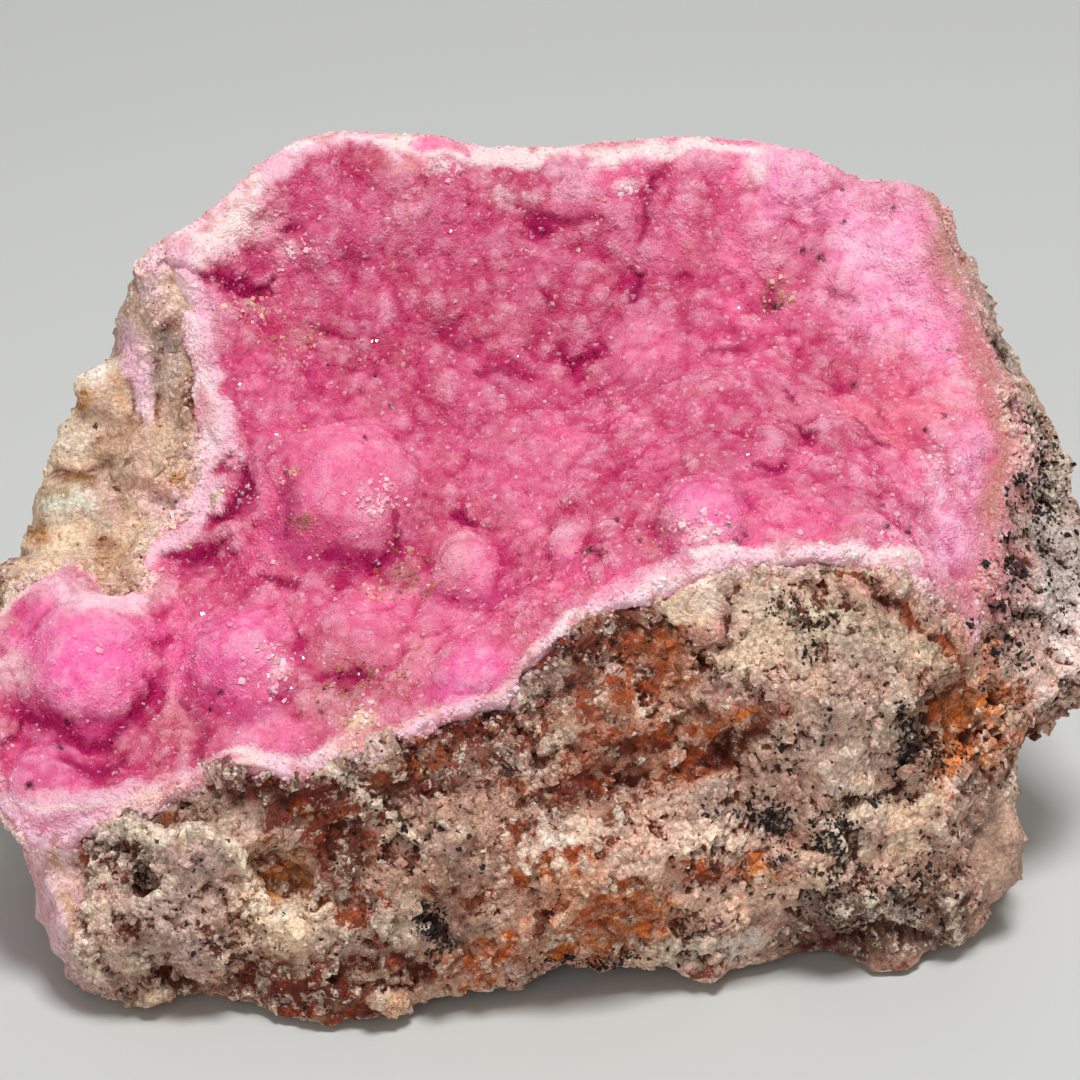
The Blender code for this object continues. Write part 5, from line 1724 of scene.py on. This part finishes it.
def sow(name, shape, places, turns, sizes, layers, material):
    points = bpy.data.meshes.new(name + "_points")
    points.vertices.add(len(places))
    points.vertices.foreach_set("co", ((places - CENTRE) * MM).ravel())
    for label, values, kind in (("turn", turns, "FLOAT_VECTOR"), ("size", sizes * MM, "FLOAT_VECTOR")):
        points.attributes.new(label, kind, "POINT").data.foreach_set("vector", values.ravel())
    for label, values in layers.items():
        full = np.column_stack((values, np.ones(len(values))))
        points.attributes.new(label, "FLOAT_COLOR", "POINT").data.foreach_set("color", full.ravel())
    holder = bpy.data.objects.new(name + "_points", points)
    bpy.context.scene.collection.objects.link(holder)
    grow = holder.modifiers.new("sow", "NODES")
    grow.node_group = SOWING
    grow["Socket_1"] = shape
    bpy.context.view_layer.update()
    graph = bpy.context.evaluated_depsgraph_get()
    mesh = bpy.data.meshes.new_from_object(
        holder.evaluated_get(graph), preserve_all_data_layers=True, depsgraph=graph
    )
    mesh.name = name
    for label in ("turn", "size"):
        if label in mesh.attributes:
            mesh.attributes.remove(mesh.attributes[label])
    bpy.data.objects.remove(holder)
    place_piece(name, mesh, material)


def scatter(s, weight, number, rng, *layers):
    """Random places on a surface, more of them where weight is high: points, normals and the layers there."""
    s.mesh.calc_loop_triangles()
    corners = np.empty(len(s.mesh.loop_triangles) * 3, np.int32)
    s.mesh.loop_triangles.foreach_get("vertices", corners)
    corners = corners.reshape(-1, 3)
    p = s.points[corners]
    area = np.linalg.norm(np.cross(p[:, 1] - p[:, 0], p[:, 2] - p[:, 0]), axis=1)
    chance = area * weight[corners].mean(axis=1)
    pick = rng.choice(len(corners), size=number, p=chance / chance.sum())
    share = rng.dirichlet((1, 1, 1), number)
    found = (s.points, s.normals, *layers)
    return [(values[corners[pick]] * share[:, :, None]).sum(axis=1) for values in found]


def upright(normals, lean, rng):
    """Turns that stand a shape's Z along a normal, leaning by lean and spun at random."""
    aim = normals + rng.normal(0, lean, normals.shape)
    aim /= np.linalg.norm(aim, axis=1)[:, None]
    polar = np.arccos(np.clip(aim[:, 2], -1, 1))
    around = np.arctan2(aim[:, 1], aim[:, 0])
    spins = rng.uniform(0, 2 * math.pi, len(aim))
    turns = [
        (Matrix.Rotation(a, 3, "Z") @ Matrix.Rotation(b, 3, "Y") @ Matrix.Rotation(c, 3, "Z")).to_euler()
        for a, b, c in zip(around, polar, spins)
    ]
    return np.array(turns)


DRUSE_PIECES = 3
DRUSE_EACH = 31000
BRIGHT_CRYSTALS = 1000
RIM_CRUMBS = 4400
ROCK_GRAINS_EACH = 3200
BLACK_GRAINS = 2500

# The middle size of each kind of small piece in mm, its spread, and the least and the most.
DRUSE_SIZE = (0.29, 0.3, 0.15, 0.6)
BRIGHT_SIZE = (0.22, 0.3, 0.14, 0.45)
LOOSE_SIZE = (0.25, 0.36, 0.14, 0.6)
CRUMB_SIZE = (0.25, 0.35, 0.14, 0.5)
ROCK_GRAIN_SIZE = (0.5, 0.4, 0.25, 1.3)
BLACK_SIZE = (0.2, 0.4, 0.12, 0.55)

GRAIN_CUTS = (
    (((1, 1, 1), 0.5), ((-1, 0.4, 0.9), 0.45), ((0.2, -1, -0.7), 0.5)),
    (((1, -0.6, 0.8), 0.45), ((-0.9, -0.8, 0.5), 0.5)),
    (((0.6, 0.7, -1), 0.42), ((-1, 0.9, 0.2), 0.5), ((0.9, -0.9, 0.4), 0.55)),
)

CRYSTAL_NESTS = (
    # across, down, wide, high, number, colours: small loose crystals that lie on the crust
    (402, 565, 11, 14, 34, ("cream", "tan", "olive_brown")),
    (376, 594, 9, 8, 18, ("cream", "tan", "peach")),
    (398, 580, 14, 22, 26, ("olive_brown", "tan", "ochre")),
    (300, 525, 8, 6, 12, ("tan", "ochre")),
    (303, 427, 4, 4, 5, ("tan", "cream")),
    (250, 306, 14, 7, 26, ("tan", "cream", "peach")),
    (300, 334, 24, 13, 36, ("tan", "peach", "ochre")),
    (288, 480, 9, 8, 12, ("peach", "tan")),
    (778, 296, 14, 16, 30, ("tan", "olive_brown", "cream")),
    (275, 668, 13, 14, 40, ("milk", "pale_pink")),
    (262, 655, 8, 8, 14, ("milk", "pale_pink")),
    (705, 535, 17, 10, 44, ("milk", "pale_pink")),
    (288, 250, 14, 13, 22, ("pale_pink", "milk")),
    (380, 496, 16, 10, 30, ("milk", "pale_pink")),
    (372, 508, 10, 8, 16, ("milk", "pale_pink")),
    (640, 538, 7, 9, 10, ("milk", "soft_pink")),
    (630, 185, 12, 7, 20, ("milk", "pale_pink")),
    (350, 682, 24, 12, 44, ("olive_brown", "umber", "ochre")),
    (362, 724, 18, 13, 40, ("cream", "milk", "tan")),
    (437, 165, 11, 8, 24, ("milk", "pale_pink")),
    (590, 550, 10, 7, 14, ("tan", "olive_brown")),
    (945, 475, 10, 30, 34, ("milk", "pale_pink")),
    (925, 500, 10, 12, 16, ("milk", "pale_pink")),
    (845, 545, 30, 6, 24, ("milk", "pale_pink")),
    (655, 555, 20, 14, 20, ("tan", "dusty_pink")),
    (405, 678, 10, 20, 22, ("tan", "dusty_pink", "ochre")),
    (250, 485, 8, 8, 10, ("milk", "pale_pink")),
)


def any_turn(number, rng):
    return rng.uniform(0, 2 * math.pi, (number, 3))


def some_sizes(size, number, rng):
    middle, spread, least, most = size
    return np.clip(rng.lognormal(math.log(middle), spread, number), least, most)[:, None]


def some_colour(names, number, rng):
    picked = np.array([linear(name) for name in names])[rng.integers(0, len(names), number)]
    return picked * rng.normal(1.0, 0.12, number)[:, None].clip(0.7, 1.2)


def stacked(rows):
    return (np.concatenate(column) for column in zip(*rows))


def grow_druse(point, rhomb, rng):
    weight = np.clip(crust.sparkle, 0.02, 1) * (crust.normals[:, 2] > -0.1)
    for number in range(DRUSE_PIECES):
        places, normals, colours, calm = scatter(
            crust, weight, DRUSE_EACH, rng, crust.paint, crust.calm[:, None]
        )
        size = some_sizes(DRUSE_SIZE, DRUSE_EACH, rng) * (1 - 0.3 * calm)
        sizes = size * rng.uniform(0.85, 1.15, (DRUSE_EACH, 3))
        # About one crystal in fourteen is drawn towards pale pink: partly paler crystals, partly painted
        # glints.
        pale = (rng.uniform(0.15, 0.45, DRUSE_EACH) * (rng.random(DRUSE_EACH) < 0.07))[:, None]
        colours = blend(colours, linear("pale_pink"), pale)
        colours = np.clip(colours * rng.normal(1.0, 0.05, DRUSE_EACH)[:, None], 0, 1)
        places = places - 0.03 * size * normals
        turns = upright(normals, 0.14, rng)
        name = f"druse_crystals_{number + 1}"
        sow(name, point, places, turns, sizes, {"paint": colours}, CRYSTAL_FINISH)
    places, normals, colours = scatter(crust, weight, BRIGHT_CRYSTALS, rng, crust.paint)
    size = some_sizes(BRIGHT_SIZE, BRIGHT_CRYSTALS, rng)
    sizes = size * rng.uniform(0.8, 1.2, (BRIGHT_CRYSTALS, 3))
    # Their colour is drawn towards milk: partly paler crystals, partly a painted glint beside the real shine
    # of their glossy finish.
    pale = rng.uniform(0.15, 0.55, BRIGHT_CRYSTALS)[:, None]
    colours = blend(colours, linear("milk"), pale)
    turns = upright(normals, 0.6, rng)
    sow("bright_crystals", rhomb, places, turns, sizes, {"paint": colours}, BRIGHT_FINISH)


def strew_nests(shape, rng):
    """Small heaps of loose tan and white crystals in the hollows of the crust."""
    rows = []
    for across, down, wide, high, number, names in CRYSTAL_NESTS:
        number = int(number * 1.6)
        weight = crust.oval(across, down, wide * 1.25, high * 1.25, 0, 0.9, 1.2)
        places, _, paint = scatter(crust, weight, number, rng, crust.paint)
        size = some_sizes(LOOSE_SIZE, number, rng)
        own = rng.uniform(0.35, 0.9, (number, 1))
        colours = blend(paint, some_colour(names, number, rng), own)
        rows.append((places, any_turn(number, rng), size * rng.uniform(0.4, 1.3, (number, 3)), colours))
    places, turns, sizes, colours = stacked(rows)
    sow("loose_crystals", shape, places, turns, sizes, {"paint": colours}, CRYSTAL_FINISH)


def strew_rim(shape, rng):
    """Pale crumbs along the border where the crust is broken off the rock."""
    half = RIM_CRUMBS // 2
    names = ("pale_pink", "milk", "pale_pink", "peach", "dusty_pink")
    rows = []
    for s, reach in ((crust, 0.9), (rock, 1.1)):
        weight = np.exp(-((s.rim / reach) ** 2)) * (s.normals[:, 2] > -0.6)
        if s is rock:
            weight = weight * s.open
        places, normals, paint = scatter(s, weight, half, rng, s.paint)
        size = some_sizes(CRUMB_SIZE, half, rng)
        own = rng.uniform(0.1, 0.6, (half, 1))
        colours = blend(paint, some_colour(names, half, rng), own)
        places = places - 0.1 * size * normals
        rows.append((places, any_turn(half, rng), size * rng.uniform(0.6, 1.2, (half, 3)), colours))
    places, turns, sizes, colours = stacked(rows)
    sow("rim_crumbs", shape, places, turns, sizes, {"paint": colours}, CRUMB_FINISH)


def strew_rock(shapes, rng):
    """Angular grains that stand half out of the broken rock, in the rock's own colours."""
    weight = rock.open * ease(rock.normals[:, 2], -0.85, -0.6) * ease(rock.points[:, 2], 0.6, 1.6)
    weight = weight * (0.35 + 0.65 * ease(-rock.normals[:, 1], -0.2, 0.4)) * ease(rock.rim, 0.3, 1.2)
    weight = weight * (1 - 0.9 * rock.flat)
    for number, shape in enumerate(shapes):
        count = ROCK_GRAINS_EACH
        places, normals, paint, second, marks = scatter(
            rock, weight, count, rng, rock.paint, rock.second, rock.marks
        )
        size = some_sizes(ROCK_GRAIN_SIZE, count, rng)
        sizes = size * rng.uniform(0.6, 1.3, (count, 3)) * np.array((1.0, 1.0, 0.6))
        places = places - 0.16 * size * normals
        bright = rng.normal(1.0, 0.12, (count, 1)).clip(0.7, 1.3)
        layers = {"paint": paint * bright, "second": second * bright, "marks": marks}
        turns = upright(normals, 0.35, rng)
        sow(f"rock_grains_{number + 1}", shape, places, turns, sizes, layers, ROCK_FINISH)


def strew_black(shape, rng):
    """Black oxide grains, crowded where the rock's marks say so."""
    weight = rock.marks[:, 1] ** 1.7 * rock.open * ease(rock.normals[:, 2], -0.9, -0.6)
    for across, down, size in ROCK_DOTS:
        weight = np.maximum(weight, 1.5 * rock.oval(across, down, size, size, 0, 0.3, 0.0))
    places, normals = scatter(rock, weight, BLACK_GRAINS, rng)
    size = some_sizes(BLACK_SIZE, BLACK_GRAINS, rng)
    sizes = size * rng.uniform(0.6, 1.4, (BLACK_GRAINS, 3)) * np.array((1.0, 1.0, 0.7))
    colours = linear("soot_and_shade") * rng.uniform(0.6, 2.2, (BLACK_GRAINS, 1))
    turns = upright(normals, 0.3, rng)
    sow("black_grains", shape, places, turns, sizes, {"paint": colours}, CRUMB_FINISH)


crust.store("paint", crust.paint)
rock.store("calm", np.tile(rock.calm[:, None], 3))
rock.store("paint", rock.paint)
rock.store("second", rock.second)
rock.store("marks", rock.marks)
place_piece("calcite_crust_skin", crust.mesh, CRUST_FINISH, "calcite_crust")
place_piece("host_rock_skin", rock.mesh, ROCK_FINISH, "host_rock")
dice_box = np.random.default_rng(SEED)
point, rhomb = small_shape("calcite_point", calcite_point), small_shape("calcite_rhomb", calcite_rhomb)
blocks = [small_shape(f"broken_grain_{n}", broken_grain(cuts)) for n, cuts in enumerate(GRAIN_CUTS)]
grow_druse(point, rhomb, dice_box)
strew_nests(blocks[1], dice_box)
strew_rim(blocks[0], dice_box)
strew_rock(blocks, dice_box)
strew_black(blocks[2], dice_box)
for shape in (point, rhomb, *blocks):
    bpy.data.objects.remove(shape)

# ---------------------------------------------------------------- floor, light and camera


def floor():
    bm = bmesh.new()
    bmesh.ops.create_grid(bm, x_segments=1, y_segments=1, size=3.0)
    mesh = bpy.data.meshes.new("floor")
    bm.to_mesh(mesh)
    bm.free()
    made = bpy.data.objects.new("floor", mesh)
    bpy.context.scene.collection.objects.link(made)
    material = bpy.data.materials.new("pale floor")
    material.use_nodes = True
    shader = material.node_tree.nodes["Principled BSDF"]
    shader.inputs["Base Color"].default_value = (0.62, 0.63, 0.61, 1)
    shader.inputs["Roughness"].default_value = 0.6
    mesh.materials.append(material)


def soft_light(name, place, size, power):
    data = bpy.data.lights.new(name, "AREA")
    data.shape = "SQUARE"
    data.size = size
    data.energy = power
    lamp = bpy.data.objects.new(name, data)
    bpy.context.scene.collection.objects.link(lamp)
    lamp.location = place
    lamp.rotation_mode = "QUATERNION"
    lamp.rotation_quaternion = (Vector((0, 0, 0.03)) - Vector(place)).to_track_quat("-Z", "Y")


floor()
soft_light("key_light", (0.08, -0.20, 0.78), 0.22, 5.1)
soft_light("front_light", (-0.25, -0.85, 0.35), 0.6, 1.8)
soft_light("back_light", (0.1, 0.8, 0.5), 0.6, 1.0)

world = bpy.data.worlds.new("studio")
world.use_nodes = True
world.node_tree.nodes["Background"].inputs["Color"].default_value = (1, 1, 1, 1)
world.node_tree.nodes["Background"].inputs["Strength"].default_value = 0.22
bpy.context.scene.world = world
bpy.context.scene.view_settings.view_transform = "Standard"
bpy.context.scene.view_settings.look = "None"

lens = bpy.data.cameras.new("camera")
lens.sensor_width = 36.0
lens.lens = DISTANCE / STEP * 36.0 / (2 * HALF_VIEW)
lens.clip_start = 0.01
camera = bpy.data.objects.new("camera", lens)
bpy.context.scene.collection.objects.link(camera)
aim = Vector((AIM - CENTRE) * MM)
camera.location = aim + Vector((0, -math.cos(TILT), math.sin(TILT))) * DISTANCE * MM
camera.rotation_mode = "QUATERNION"
camera.rotation_quaternion = (aim - camera.location).to_track_quat("-Z", "Y")
bpy.context.scene.camera = camera
